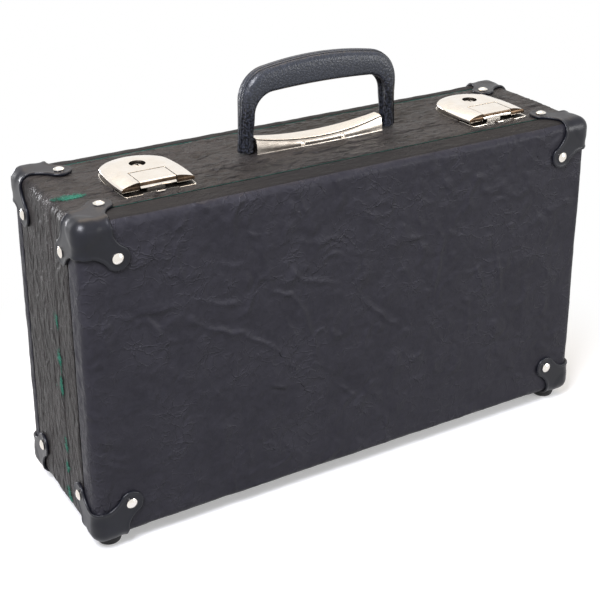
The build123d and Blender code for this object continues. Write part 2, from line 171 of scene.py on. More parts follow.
def turned(profile, sides, centre=(0, 0, 0)):
    """Points and faces of a profile of (radius, height) turned about Z, closed on its axis."""
    points = []
    faces = []
    angles = np.arange(sides) * 2 * math.pi / sides
    for radius, height in profile:
        if radius == 0:
            points.append([(centre[0], centre[1], centre[2] + height)])
        else:
            points.append([(centre[0] + radius * math.cos(a), centre[1] + radius * math.sin(a),
                            centre[2] + height) for a in angles])
    starts = np.cumsum([0] + [len(ring) for ring in points])
    for k in range(len(profile) - 1):
        a, b = starts[k], starts[k + 1]
        for i in range(sides):
            j = (i + 1) % sides
            if len(points[k]) == 1:
                faces.append((a, b + j, b + i))
            elif len(points[k + 1]) == 1:
                faces.append((a + i, a + j, b))
            else:
                faces.append((a + i, a + j, b + j, b + i))
    return [p for ring in points for p in ring], faces


def mesh_of(name, points, faces):
    """A plain mesh in metres with its faces turned outwards."""
    mesh = bpy.data.meshes.new(name)
    mesh.from_pydata((np.asarray(points, float) * MM).tolist(), [],
                     [[int(i) for i in face] for face in faces])
    work = bmesh.new()
    work.from_mesh(mesh)
    bmesh.ops.remove_doubles(work, verts=work.verts, dist=1e-6)
    bmesh.ops.recalc_face_normals(work, faces=work.faces)
    work.to_mesh(mesh)
    work.free()
    return mesh


def joined(meshes):
    """Several meshes as one."""
    work = bmesh.new()
    for mesh in meshes:
        work.from_mesh(mesh)
    result = bpy.data.meshes.new("joined")
    work.to_mesh(result)
    work.free()
    return result


def shifted(mesh, x=0, y=0, z=0):
    mesh = mesh.copy()
    mesh.transform(Matrix.Translation(Vector((x, y, z)) * MM))
    return mesh


def field(x, y, z, seed):
    """Smooth random field of about -1 to 1, one cell to a unit."""
    rng = np.random.default_rng(seed)
    order = rng.permutation(256)
    slopes = rng.normal(size=(256, 3))
    slopes /= np.linalg.norm(slopes, axis=1)[:, None]
    p = np.stack([x, y, z], -1)
    cell = np.floor(p).astype(int)
    part = p - cell
    ease = part ** 3 * (part * (part * 6 - 15) + 10)
    total = np.zeros(len(p))
    for corner in range(8):
        step = np.array((corner & 1, corner >> 1 & 1, corner >> 2 & 1))
        c = (cell + step) & 255
        pick = order[(order[(order[c[:, 0]] + c[:, 1]) & 255] + c[:, 2]) & 255]
        weight = np.prod(np.where(step, ease, 1 - ease), axis=1)
        total += weight * np.sum(slopes[pick] * (part - step), axis=1)
    return total * 1.6


def smooth_step(low, high, value):
    t = np.clip((value - low) / (high - low), 0, 1)
    return t * t * (3 - 2 * t)


# Finishes


def linear(code):
    """sRGB hex to a linear colour."""
    levels = [int(code[i:i + 2], 16) / 255 for i in (1, 3, 5)]
    return tuple(v / 12.92 if v <= 0.04045 else ((v + 0.055) / 1.055) ** 2.4 for v in levels) + (1,)


def add(tree, kind, inputs=None, **settings):
    """Add a node with its settings; an input is a value or another node's output."""
    node = tree.nodes.new(kind)
    for key, value in settings.items():
        setattr(node, key, value)
    for key, value in (inputs or {}).items():
        if isinstance(value, bpy.types.NodeSocket):
            tree.links.new(value, node.inputs[key])
        else:
            node.inputs[key].default_value = value
    return node


def new_finish(name, **sockets):
    """A material with its shader; gives the tree, the shader and object coordinates too."""
    finish = bpy.data.materials.new(name)
    finish.use_nodes = True
    tree = finish.node_tree
    shader = tree.nodes["Principled BSDF"]
    for key, value in sockets.items():
        shader.inputs[key.replace("_", " ")].default_value = value
    place = add(tree, "ShaderNodeTexCoord").outputs["Object"]
    return finish, tree, shader, place


def per_metre(size_mm):
    """Texture scale for a feature of this size."""
    return 1000 / size_mm


def leatherette(name, dark, light, stretch, seed, shine, gloss, fold_mm, fold_depth, streak_depth):
    """Leatherette: PVC film on cloth, calendered with a fine grain and crumpled when glued.
    Half matt, its grain breaks the light up. Its tone is half random and half follows the streaks
    that also raise its bump: paler on their raised parts, partly wear and partly a painted
    highlight, and darker in their hollows as painted shade."""
    finish, tree, shader, place = new_finish(name, Specular_IOR_Level=gloss)
    spread = add(tree, "ShaderNodeMapping", {"Vector": place, "Scale": stretch,
                                             "Location": (seed, seed / 2, 0)}).outputs[0]
    cloudy = add(tree, "ShaderNodeTexNoise", {"Vector": spread, "Scale": per_metre(38),
                                              "Detail": 4.0, "Roughness": 0.6})
    streaks = add(tree, "ShaderNodeTexNoise", {"Vector": spread, "Scale": per_metre(6),
                                               "Detail": 4.0, "Roughness": 0.6, "Distortion": 0.4})
    folds = add(tree, "ShaderNodeTexNoise", {"Vector": spread, "Scale": per_metre(fold_mm),
                                             "Detail": 4.0, "Roughness": 0.55, "Distortion": 0.8},
                noise_type="RIDGED_MULTIFRACTAL", normalize=True)
    # tone half random, half from the streaks that also raise the bump: painted highlight on their
    # raised parts, painted shade in their hollows
    both = add(tree, "ShaderNodeMix", {0: 0.5, 2: cloudy.outputs["Fac"], 3: streaks.outputs["Fac"]},
               data_type="FLOAT")
    tone = add(tree, "ShaderNodeValToRGB", {"Fac": both.outputs[0]})
    for end, at, colour in zip(tone.color_ramp.elements, (0.35, 0.68), (dark, light)):
        end.position, end.color = at, linear(colour)
    tree.links.new(tone.outputs["Color"], shader.inputs["Base Color"])
    dull = add(tree, "ShaderNodeMapRange", {"Value": streaks.outputs["Fac"], "From Min": 0.3,
                                            "From Max": 0.7, "To Min": shine - 0.12,
                                            "To Max": shine + 0.12})
    tree.links.new(dull.outputs[0], shader.inputs["Roughness"])
    # the real grain is 0.3 mm, drawn at 1.3 mm so that it shows
    grain = add(tree, "ShaderNodeTexVoronoi", {"Vector": place, "Scale": per_metre(1.3)},
                feature="SMOOTH_F1")
    fine = add(tree, "ShaderNodeBump", {"Strength": 0.3, "Distance": 0.0002,
                                        "Height": grain.outputs["Distance"]})
    rough = add(tree, "ShaderNodeBump", {"Strength": 0.8, "Distance": streak_depth,
                                         "Height": streaks.outputs["Fac"],
                                         "Normal": fine.outputs[0]})
    deep = add(tree, "ShaderNodeBump", {"Strength": 0.8, "Distance": fold_depth,
                                        "Height": folds.outputs["Fac"], "Normal": rough.outputs[0]})
    # sharp creases wander between the folds, and come and go
    wander = add(tree, "ShaderNodeTexNoise", {"Vector": spread, "Scale": per_metre(24),
                                              "Detail": 3.0})
    bent = add(tree, "ShaderNodeVectorMath", {0: wander.outputs["Color"], 1: (0.03, 0.03, 0.03),
                                              2: spread}, operation="MULTIPLY_ADD")
    shown = add(tree, "ShaderNodeMapRange", {"Value": cloudy.outputs["Fac"], "From Min": 0.46,
                                             "From Max": 0.6})
    for crease_mm, width in ((fold_mm * 1.5, 0.035), (fold_mm * 0.6, 0.06)):
        cells = add(tree, "ShaderNodeTexVoronoi", {"Vector": bent.outputs[0],
                                                   "Scale": per_metre(crease_mm)},
                    feature="DISTANCE_TO_EDGE")
        crease = add(tree, "ShaderNodeMapRange", {"Value": cells.outputs["Distance"],
                                                  "From Max": width, "To Min": 1.0, "To Max": 0.0})
        sunk = add(tree, "ShaderNodeMath", {0: crease.outputs[0], 1: shown.outputs[0]},
                   operation="MULTIPLY")
        deep = add(tree, "ShaderNodeBump", {"Strength": 0.7, "Distance": 0.0006,
                                            "Height": sunk.outputs[0], "Normal": deep.outputs[0]})
    tree.links.new(deep.outputs[0], shader.inputs["Normal"])
    return finish


def nickel(name, colours, roughness, grain_mm, stretch, depth):
    """Nickel plate on pressed steel: warm, bright, with the faint lines of its polishing.
    The real lines are 0.05 mm apart, and grain_mm draws them coarser so that they show."""
    finish, tree, shader, place = new_finish(name, Metallic=1.0)
    spread = add(tree, "ShaderNodeMapping", {"Vector": place, "Scale": stretch}).outputs[0]
    lines = add(tree, "ShaderNodeTexNoise", {"Vector": spread, "Scale": per_metre(grain_mm),
                                             "Detail": 3.0})
    cloud = add(tree, "ShaderNodeTexNoise", {"Vector": place, "Scale": per_metre(9), "Detail": 3.0})
    tone = add(tree, "ShaderNodeValToRGB", {"Fac": cloud.outputs["Fac"]})
    for end, at, colour in zip(tone.color_ramp.elements, (0.3, 0.7), colours):
        end.position, end.color = at, linear(colour)
    tree.links.new(tone.outputs["Color"], shader.inputs["Base Color"])
    shine = add(tree, "ShaderNodeMapRange", {"Value": lines.outputs["Fac"], "From Min": 0.3,
                                             "From Max": 0.7, "To Min": roughness * 0.75,
                                             "To Max": roughness * 1.3})
    tree.links.new(shine.outputs[0], shader.inputs["Roughness"])
    bump = add(tree, "ShaderNodeBump", {"Strength": depth, "Distance": 0.00005,
                                        "Height": lines.outputs["Fac"]})
    tree.links.new(bump.outputs[0], shader.inputs["Normal"])
    return finish


def moulded(name, dark, light, roughness, grain_mm, depth, kind="F1", pebbled=False, gloss=0.36):
    """Moulded plastic with the mould's grain; a pebbled one has its tops painted paler, a painted
    glint.
    """
    finish, tree, shader, place = new_finish(name, Specular_IOR_Level=gloss)
    grain = add(tree, "ShaderNodeTexVoronoi", {"Vector": place, "Scale": per_metre(grain_mm)},
                feature=kind)
    cloud = add(tree, "ShaderNodeTexNoise", {"Vector": place, "Scale": per_metre(14),
                                             "Detail": 4.0})
    # a pebbled surface is painted paler on its tops, a painted glint
    tops = add(tree, "ShaderNodeMath", {0: 1.0, 1: grain.outputs["Distance"]}, operation="SUBTRACT")
    paler, ends = (tops.outputs[0], (0.45, 0.85)) if pebbled else (cloud.outputs["Fac"], (0.3, 0.7))
    tone = add(tree, "ShaderNodeValToRGB", {"Fac": paler})
    for end, at, colour in zip(tone.color_ramp.elements, ends, (dark, light)):
        end.position, end.color = at, linear(colour)
    tree.links.new(tone.outputs["Color"], shader.inputs["Base Color"])
    shine = add(tree, "ShaderNodeMapRange", {"Value": cloud.outputs["Fac"], "From Min": 0.3,
                                             "From Max": 0.7, "To Min": roughness - 0.06,
                                             "To Max": roughness + 0.06})
    tree.links.new(shine.outputs[0], shader.inputs["Roughness"])
    bump = add(tree, "ShaderNodeBump", {"Strength": depth, "Distance": 0.0003,
                                        "Height": grain.outputs["Distance"]}, invert=True)
    tree.links.new(bump.outputs[0], shader.inputs["Normal"])
    return finish


def fibrous(name, dark, light, fibre_mm, stretch, roughness, depth, sheen):
    """Cloth, plush or wood: fibres lying one way, tone from fibre to fibre."""
    finish, tree, shader, place = new_finish(name, Roughness=roughness, Sheen_Weight=sheen,
                                             Sheen_Roughness=0.4)
    spread = add(tree, "ShaderNodeMapping", {"Vector": place, "Scale": stretch}).outputs[0]
    fibres = add(tree, "ShaderNodeTexNoise", {"Vector": spread, "Scale": per_metre(fibre_mm),
                                              "Detail": 6.0, "Roughness": 0.7})
    tone = add(tree, "ShaderNodeValToRGB", {"Fac": fibres.outputs["Fac"]})
    for end, at, colour in zip(tone.color_ramp.elements, (0.32, 0.68), (dark, light)):
        end.position, end.color = at, linear(colour)
    tree.links.new(tone.outputs["Color"], shader.inputs["Base Color"])
    bump = add(tree, "ShaderNodeBump", {"Strength": depth, "Distance": 0.0004,
                                        "Height": fibres.outputs["Fac"]})
    tree.links.new(bump.outputs[0], shader.inputs["Normal"])
    return finish


def sheen_and_rub_paler(finish, colour, low_mm, high_mm, share):
    """Fades a finish towards a paler colour between two heights: a painted sheen where the top
    catches the light, and wear where hands rub it.
    """
    tree = finish.node_tree
    shader = tree.nodes["Principled BSDF"]
    tone = shader.inputs["Base Color"].links[0].from_socket
    place = add(tree, "ShaderNodeSeparateXYZ",
                {"Vector": tree.nodes["Texture Coordinate"].outputs["Object"]})
    sheen_and_rubbed = add(tree, "ShaderNodeMapRange", {"Value": place.outputs["Z"], "From Min": low_mm * MM,
                                              "From Max": high_mm * MM, "To Min": 0.0,
                                              "To Max": share}, interpolation_type="SMOOTHSTEP")
    # a colour mix takes its factor at 0 and its colours at 6 and 7
    mix = add(tree, "ShaderNodeMix", {0: sheen_and_rubbed.outputs[0], 6: tone, 7: linear(colour)},
              data_type="RGBA")
    tree.links.new(mix.outputs[2], shader.inputs["Base Color"])


# blue-black film of the two faces: half matt, broad soft folds with fine creases between them
leatherette_face = leatherette("leatherette_face", "#28272d", "#35343a", (1, 1, 1), 0.0, 0.46, 0.13,
                               22, 0.0036, 0.0007)
# the same film where it turns onto the top and bottom: darker, duller and plainer than on the face
leatherette_wrap = leatherette("leatherette_wrap", "#1c1b1c", "#2a2828", (0.6, 1.5, 0.6), 2.0, 0.62,
                               0.12, 16, 0.003, 0.001)
# brown-black film of the bands: wrinkled along the case, and glossier on the wrinkles' tops
leatherette_band = leatherette("leatherette_band", "#151313", "#3d3938", (0.65, 1.5, 0.65), 4.0,
                               0.44, 0.19, 13, 0.007, 0.0028)
# painted shade on the floor and walls of the grooves and on the seam's edges: near black with no
# shine, so they read as dark lines
groove_shade = moulded("shaded_groove_edge", "#050506", "#09090a", 0.9, 1.0, 0.0, gloss=0.0)
# the film's cloth backing: a dull green thread along each cut edge
backing_cloth = fibrous("backing_cloth", "#16463b", "#26665a", 1.0, (1, 1, 1), 0.9, 0.4, 0.0)
# corner guards: smooth blue-black plastic with a soft, broad shine
guard_plastic = moulded("moulded_polyethylene", "#0d0e15", "#12131b", 0.36, 2.4, 0.05)
# grip: pebbled plastic, its tops painted paler as a glint; the real pebbles are 0.8 mm, drawn at
# 1.5 mm
grip_plastic = moulded("pebbled_moulded_grip", "#07080b", "#363944", 0.36, 1.5, 1.0, "SMOOTH_F1",
                       True)
# the grip's top painted paler: painted sheen and hand wear
sheen_and_rub_paler(grip_plastic, "#373a41", 322, 345, 0.55)
# feet: dull black rubber
foot_plastic = moulded("moulded_rubber_foot", "#0d0d0f", "#141416", 0.5, 1.2, 0.2)
# latches: satin plate, almost white with a warm cast
latch_nickel = nickel("satin_nickel_latch", ("#efe6da", "#f6efe6"), 0.17, 0.7, (1, 1, 1), 0.18)
# rivets: polished heads, brighter and cleaner than the pressed parts
rivet_nickel = nickel("bright_nickel_rivet", ("#e9e2d8", "#f4efe8"), 0.16, 0.8, (1, 1, 1), 0.1)
# the saddle's flanks: long brush lines, and a grey-beige colour that is a painted darker reflection
flank_nickel = nickel("satin_nickel_flank", ("#a69d93", "#c9c1b7"), 0.3, 2.2, (0.12, 2, 2), 0.5)
# the saddle's crest: the same brushing, finer and brighter
saddle_nickel = nickel("brushed_nickel_plate", ("#ebe2d6", "#f1e9de"), 0.22, 1.0, (0.15, 2, 2), 0.3)
# lock barrels: turned, a shade darker than the latch round them
lock_nickel = nickel("turned_nickel_lock", ("#d9d0c4", "#e9e2d8"), 0.2, 0.6, (1, 1, 1), 0.15)
# near black steel: oiled steel on hidden insides, pivots and rivets, and painted shade under the
# latch covers' rims, in the lock cups and keyholes, on the plates' fields under cover and hasp, and
# in the saddle's step
dark_steel = nickel("oiled_steel_and_painted_shade", ("#3b3835", "#4b4743"), 0.4, 1.0, (1, 1, 1), 0.3)
# front walls of the latch covers and hasps: a painted dark-brown reflection of the leatherette
painted_reflection_steel = nickel("painted_dark_reflection_edge", ("#3a2f26", "#6b5846"), 0.33, 1.4, (1, 1, 1), 0.6)
# hinges and pins: cool grey zinc
hinge_steel = nickel("zinc_plated_steel", ("#b9bbbb", "#cdcfce"), 0.3, 1.0, (0.3, 1, 1), 0.2)
# hasp springs: blued steel
spring_steel = nickel("blued_spring_steel", ("#565a63", "#6c7078"), 0.3, 1.0, (1, 0.2, 1), 0.2)
# boards: pale birch with its grain along the case
plywood = fibrous("birch_plywood", "#a9885d", "#cdaf83", 2.0, (0.12, 1.6, 0.5), 0.62, 0.25, 0.0)
# linings: deep green pile that greys at a glance across it
velour = fibrous("cotton_velour", "#0d3a2d", "#175643", 1.2, (1, 1, 1), 0.95, 0.8, 0.6)
# loose fibres of the pile: brighter, since light passes through them
velour_fibre = fibrous("plush_fibre", "#0f4f3f", "#1c7059", 0.5, (1, 1, 1), 0.8, 0.1, 0.3)


# Coverings: film on the boards, with a groove between the face's wrap and the band


def ticks(low, high, step):
    """Places across one side of the case, close together in its roundings."""
    turn = np.linspace(0, edge_round, 8)
    flat = np.linspace(low + edge_round, high - edge_round,
                       round((high - low - 2 * edge_round) / step) + 1)
    return np.concatenate([low + turn[:-1], flat, high - turn[::-1][1:]])


def patch(first, second, place, flip):
    """Grid of points and faces over two lists of places."""
    u, v = np.meshgrid(first, second, indexing="ij")
    index = np.arange(u.size).reshape(u.shape)
    faces = np.stack([index[:-1, :-1], index[1:, :-1], index[1:, 1:], index[:-1, 1:]], -1)
    faces = faces.reshape(-1, 4)
    return place(u.ravel(), v.ravel()), faces[:, ::-1] if flip else faces


def weld(patches):
    """Several patches as one set of points and faces, with the points that meet merged."""
    points = np.concatenate([p for p, _ in patches])
    starts = np.cumsum([0] + [len(p) for p, _ in patches])
    faces = np.concatenate([f + s for (_, f), s in zip(patches, starts)])
    _, first, same = np.unique(np.round(points, 3), axis=0, return_index=True, return_inverse=True)
    return points[first], same.ravel()[faces]


def on_rounding(points):
    """Points of the square-edged case moved onto its rounded surface, and which way each faces."""
    core = np.clip(points, case_low + edge_round, case_high - edge_round)
    away = points - core
    away /= np.linalg.norm(away, axis=1)[:, None]
    return core + away * edge_round, away


def sides(depths):
    """The four long sides of the case as patches, at these depths."""
    xs = ticks(case_low[0], case_high[0], cover_step)
    zs = ticks(case_low[2], case_high[2], cover_step)
    x0, x1 = case_low[0], case_high[0]
    z0, z1 = case_low[2], case_high[2]
    return [patch(xs, depths, lambda x, y: np.stack([x, y, x * 0 + z1], -1), False),
            patch(xs, depths, lambda x, y: np.stack([x, y, x * 0 + z0], -1), True),
            patch(zs, depths, lambda z, y: np.stack([z * 0 + x0, y, z], -1), False),
            patch(zs, depths, lambda z, y: np.stack([z * 0 + x1, y, z], -1), True)]


def face_patch(y, flip):
    """The case's whole face at this depth as a patch."""
    xs = ticks(case_low[0], case_high[0], cover_step)
    zs = ticks(case_low[2], case_high[2], cover_step)
    return patch(xs, zs, lambda x, z: np.stack([x, x * 0 + y, z], -1), flip)


def turned_in(points, faces, away, y_cut, ahead, run=0.0):
    """Rounds the film's edge over at a cut and takes it down to the board, and along it for a run.
    Gives the points, the faces, and a flag of 1 for the faces of the cut edge and 2 for the run."""
    near = np.abs(points[:, 1] - y_cut)
    on_edge = near < 1e-6
    points = points - away * (0.5 * np.clip(1 - near / 2.0, 0, 1) ** 2)[:, None]
    rim = np.nonzero(on_edge)[0]
    lookup = -np.ones(len(points), int)
    lookup[rim] = np.arange(len(rim)) + len(points)
    lowered = points[rim] - away[rim] * (cover_t - 0.55)
    lowered[:, 1] -= ahead * 0.1
    further = lowered.copy()
    further[:, 1] -= ahead * run
    edge_faces = []
    run_faces = []
    for face in faces:
        kept = [i for i in face if on_edge[i]]
        if len(kept) == 2:
            k = [i for i in range(4) if on_edge[face[i]] and on_edge[face[(i + 1) % 4]]][0]
            a, b = face[k], face[(k + 1) % 4]
            edge_faces.append((b, a, lookup[a], lookup[b]))
            if run:
                run_faces.append((lookup[b], lookup[a], lookup[a] + len(rim), lookup[b] + len(rim)))
    flags = np.repeat((0, 1, 2), (len(faces), len(edge_faces), len(run_faces)))
    faces = np.concatenate([faces, np.array(edge_faces + run_faces)])
    layers = [lowered] + ([further] if run else [])
    away = np.concatenate([away] + [away[rim]] * len(layers))
    return np.concatenate([points] + layers), faces, away, flags


# Folds of the lid's face that the photograph shows, as (x, z) lines
face_folds = (
    ((-166, 256), (-167, 244), (-164, 229), (-157, 213)),
    ((-157, 189), (-143, 176), (-110, 163), (-85, 144), (-60, 126)),
    ((-150, 203), (-130, 195), (-112, 190)),
    ((-155, 154), (-138, 119), (-117, 97)),
    ((-88, 211), (-83, 194), (-65, 186), (-54, 169), (-44, 139), (-39, 112)),
    ((-72, 216), (-54, 197), (-21, 186)),
    ((-66, 237), (-35, 225)),
    ((-22, 222), (-5, 211), (11, 206)),
    ((2, 168), (23, 146), (44, 128)),
    ((76, 219), (87, 204), (82, 177), (76, 136)),
    ((117, 139), (119, 91)),
    ((146, 185), (155, 136)),
    ((-196, 203), (-180, 176)),
    ((-73, 168), (-60, 146)),
    ((-86, 132), (-78, 114)),
    ((-73, 131), (-57, 111)),
    ((85, 260), (96, 240)),
    ((137, 228), (167, 225)),
    ((-135, 231), (-106, 221)),
    ((124, 170), (135, 141)),
    ((13, 140), (6, 122)),
    ((73, 130), (97, 87)),
    ((-217, 206), (-199, 196)),
    ((-20, 90), (0, 71)),
)
fold_height = 1.25
fold_width = 1.7


def fold_field(x, z):
    """Height of the drawn folds: a narrow ridge beside a broad slack dip."""
    total = np.zeros(len(x))
    p = np.stack([x + 1.6 * field(x / 9, z / 9, x * 0, 31),
                  z + 1.6 * field(x / 9, z / 9, x * 0, 32)], -1)
    for number, line in enumerate(face_folds):
        best = np.full(len(x), 1e9)
        side = np.zeros(len(x))
        along = np.zeros(len(x))
        count = len(line) - 1
        for k in range(count):
            a, b = np.array(line[k], float), np.array(line[k + 1], float)
            run = b - a
            t = np.clip((p - a) @ run / (run @ run), 0, 1)
            off = p - (a + t[:, None] * run)
            far = np.linalg.norm(off, axis=1)
            nearer = far < best
            best = np.where(nearer, far, best)
            side = np.where(nearer, np.sign(run[0] * off[:, 1] - run[1] * off[:, 0]), side)
            along = np.where(nearer, (k + t) / count, along)
        fade = np.sin(np.pi * np.clip(along, 0.04, 0.96)) ** 0.6
        ridge = np.exp(-((best / fold_width) ** 2))
        dip = np.exp(-(((best - 5) / 4) ** 2)) * np.where(side > 0, 0.55, 0.15)
        total += fade * (ridge - dip) * (0.7 + 0.3 * math.sin(number * 1.7))
    return total


def crumple(points, seed, size):
    """Random crumpling: sharp-edged facets of a few sizes."""
    x, y, z = points.T / size
    warp = 0.35 * field(x * 0.7, y * 0.7, z * 0.7, seed + 5)
    total = np.zeros(len(points))
    for octave, weight in ((1, 1.0), (2.1, 0.5), (4.3, 0.26)):
        total += weight * (0.35 - np.abs(field(x * octave + warp, y * octave, z * octave + warp,
                                               seed + int(octave))))
    return total


def wrinkles(points, away, seed):
    """Wrinkles along the case's sides, where the film was drawn round the edge."""
    x, y, z = points.T
    flat = away[:, 2] ** 2
    upright = away[:, 0] ** 2
    warp = 0.8 * field(x / 30, y / 12, z / 30, seed + 9)
    total = np.zeros(len(points))
    for reach, pitch, weight in ((30, 8.5, 1.3), (17, 5.0, 0.8), (9, 3.2, 0.45)):
        on_top = 0.3 - np.abs(field(x / reach, y / pitch + warp, z / 300, seed + reach))
        on_end = 0.3 - np.abs(field(x / 300, y / pitch + warp, z / reach, seed + reach + 1))
        total += weight * (flat * on_top + upright * on_end)
    return total


def keep_down(points, distance):
    """1 away from the corner guards and 0 under them, so that the film lies flat there."""
    x = np.minimum(points[:, 0] - case_low[0], case_high[0] - points[:, 0])
    y = np.minimum(points[:, 1] - case_low[1], case_high[1] - points[:, 1])
    z = np.minimum(points[:, 2] - case_low[2], case_high[2] - points[:, 2])
    spans = np.sort(np.stack([x, y, z], -1), axis=1)
    return smooth_step(distance, distance + 12, spans[:, 2])


def pressed(points):
    """0 under the latches and the saddle and beside the handle's legs, where the film is held
    flat, and 1 elsewhere."""
    x, y, z = points.T
    free = np.ones(len(points))
    latches = [(x_mid, 0, 33, -2, 38) for _, x_mid in latch_places]
    saddle_and_legs = [(hardware_x, 0, 64, 5, 12), (hardware_x, 60, 90, 5, 17)]
    for x_mid, x_near, x_far, y_mid, y_half in latches + saddle_and_legs:
        off = np.abs(x - x_mid)
        out = np.maximum(np.maximum(off - x_far, x_near - off), np.abs(y - y_mid) - y_half)
        free = np.minimum(free, smooth_step(-3, 3, out))
    return np.where(z > z_top - 3, free, 1.0)


def depths(y0, y1, step):
    """Depths of a covering's points, close together at its ends."""
    low, high = min(y0, y1), max(y0, y1)
    ends = np.array((0, 0.3, 0.7, 1.3))
    inner = np.linspace(low + 2.2, high - 2.2, max(3, round((high - low - 4.4) / step)))
    return np.concatenate([low + ends, inner, high - ends[::-1]])


def make_face_cover(name, y_face, y_cut, body, node, seed, folds):
    """Film over a half's face and on round its edges to the cut at the groove."""
    inward = 1 if y_cut > y_face else -1
    turn = y_face + inward * np.linspace(0, edge_round, 8)
    run = np.linspace(y_face + inward * edge_round, y_cut - inward * 1.3,
                      max(3, round((abs(y_cut - y_face) - edge_round) / 1.6)))
    ends = y_cut - inward * np.array((0.7, 0.3, 0.0))
    rows = np.sort(np.concatenate([turn[:-1], run, ends]))
    points, faces = weld(sides(rows) + [face_patch(y_face, y_face > 0)])
    points, away = on_rounding(points)
    film = len(points)
    # past its cut edge it lines the groove's floor, as far as under the band
    points, faces, away, flags = turned_in(points, faces, away, y_cut, -inward,
                                           2 * groove_half + 0.2)
    x, y, z = points.T
    facing = away[:, 1] ** 2
    guard_free = keep_down(points, guard_reach)
    height = facing * (1.1 * crumple(points, seed, 46) + 0.35 * crumple(points, seed + 20, 17))
    if folds:
        height += facing * fold_height * fold_field(x, z)
    height += (1 - facing) * 0.5 * wrinkles(points, away, seed + 40)
    # the wrap is drawn down a little towards the face
    droop = smooth_step(0, 17, np.abs(y - y_cut)) * away[:, 2] ** 2 * 1.2
    height = np.maximum(np.clip(height, film_down, film_up) - droop, film_over_board)
    height *= guard_free * (1 - flags_near(points, y_cut))
    height[film:] = 0
    points = points + away * height[:, None]
    middle = away[faces].mean(axis=1)
    wrap = (middle[:, 1] ** 2 < 0.25) & (np.abs(middle[:, 2]) > 0.6)
    upright = np.abs(middle[:, 0]) > 0.6
    # the groove's floor and upright walls take the painted groove shade
    shaded = (flags == 2) | (flags == 1) & upright
    flags = np.select([shaded, flags == 1, wrap], [3, 1, 2], 0)
    finishes = (leatherette_face, backing_cloth, leatherette_wrap, groove_shade)
    piece = make_piece(name, points, faces, finishes, body, flags, 75)
    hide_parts(node)
    return piece


def flags_near(points, y_cut):
    """1 at a cut edge, falling to 0 within 1.5 mm, so that edges stay straight."""
    return np.clip(1 - np.abs(points[:, 1] - y_cut) / 1.5, 0, 1)


def make_band_cover(name, y_groove, y_seam, body, node, seed):
    """Film round a half's four sides, from its groove to the seam."""
    points, faces = weld(sides(depths(y_groove, y_seam, 1.5)))
    points, away = on_rounding(points)
    toward = 1 if y_groove > y_seam else -1
    points, faces, away, first = turned_in(points, faces, away, y_groove, toward)
    points, faces, away, second = turned_in(points, faces, away, y_seam, -toward)
    # every face of the seam's turned-in edge takes the painted groove shade
    flags = np.concatenate([first, np.full(len(second) - len(first), 2)])
    ends = away[:, 0] ** 2
    height = (1.15 - 0.5 * ends) * wrinkles(points, away, seed)
    height += 0.5 * crumple(points, seed + 3, 22)
    free = keep_down(points, guard_reach) * pressed(points) * (1 - flags_near(points, y_groove))
    free *= 1 - flags_near(points, y_seam)
    points = points + away * (np.clip(height, film_down, 1.1) * free)[:, None]
    upright = np.abs(away[faces].mean(axis=1)[:, 0]) > 0.6
    # the groove's upright walls take the painted groove shade too
    flags = np.where((flags == 1) & upright, 2, flags)
    piece = make_piece(name, points, faces, (leatherette_band, backing_cloth, groove_shade), body,
                       flags, 75)
    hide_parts(node)
    return piece


make_face_cover("lid_face_leatherette", case_low[1], y_lid_groove - groove_half, "lid",
                "lid_face_cover", 11, True)
make_face_cover("base_face_leatherette", case_high[1], y_base_groove + groove_half, "base",
                "base_face_cover", 57, False)
make_band_cover("lid_band_leatherette", y_lid_groove + groove_half, y_lid_edge, "lid",
                "lid_band_cover", 201)
make_band_cover("base_band_leatherette", y_base_groove - groove_half, y_base_edge, "base",
                "base_band_cover", 301)


# Corner guards


def guard_mesh(node):
    """A guard with a rim round its outline, a fuller ball at the corner and soft moulded edges."""
    obj = loose_object("guard_work", cad_copy(node))
    mod = obj.modifiers.new("even", "REMESH")
    mod.mode = "VOXEL"
    mod.voxel_size = 0.65 * MM
    mesh = evaluated_mesh(obj)
    work = bmesh.new()
    work.from_mesh(mesh)
    points = np.array([v.co for v in work.verts]) / MM
    away = points - np.clip(points, case_low + edge_round, case_high - edge_round)
    span = np.linalg.norm(away, axis=1)
    proud = span - edge_round
    outline = points[(proud > 0.7) & (proud < 2.1)]
    tree = KDTree(len(outline))
    for k, p in enumerate(outline):
        tree.insert(p, k)
    tree.balance()
    far = np.array([tree.find(p)[2] for p in points])
    corner = np.where(points.mean(0) > (case_low + case_high) / 2, case_high, case_low)
    ball = 1 - smooth_step(15, 21, np.linalg.norm(points - corner, axis=1))
    sink = 0.55 * smooth_step(1.8, 3.0, far) * (1 - ball) * (proud > 2.1)
    points -= away / span[:, None] * sink[:, None]
    for v, p in zip(work.verts, points):
        v.co = p * MM
    for _ in range(5):
        bmesh.ops.smooth_vert(work, verts=work.verts, factor=0.5, use_axis_x=True, use_axis_y=True,
                              use_axis_z=True)
    work.to_mesh(mesh)
    work.free()
    mesh.materials.clear()
    return mesh


for half in ("lid", "base"):
    for level in ("top", "bottom"):
        for side in ("left", "right"):
            node = f"{half}_corner_{level}_{side}"
            guard = finish_piece(f"{half}_guard_{level}_{side}", guard_mesh(node), (guard_plastic,),
                                 half, None, 60)
            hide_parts(node)


# Fasteners, set on points by one Geometry Nodes tree


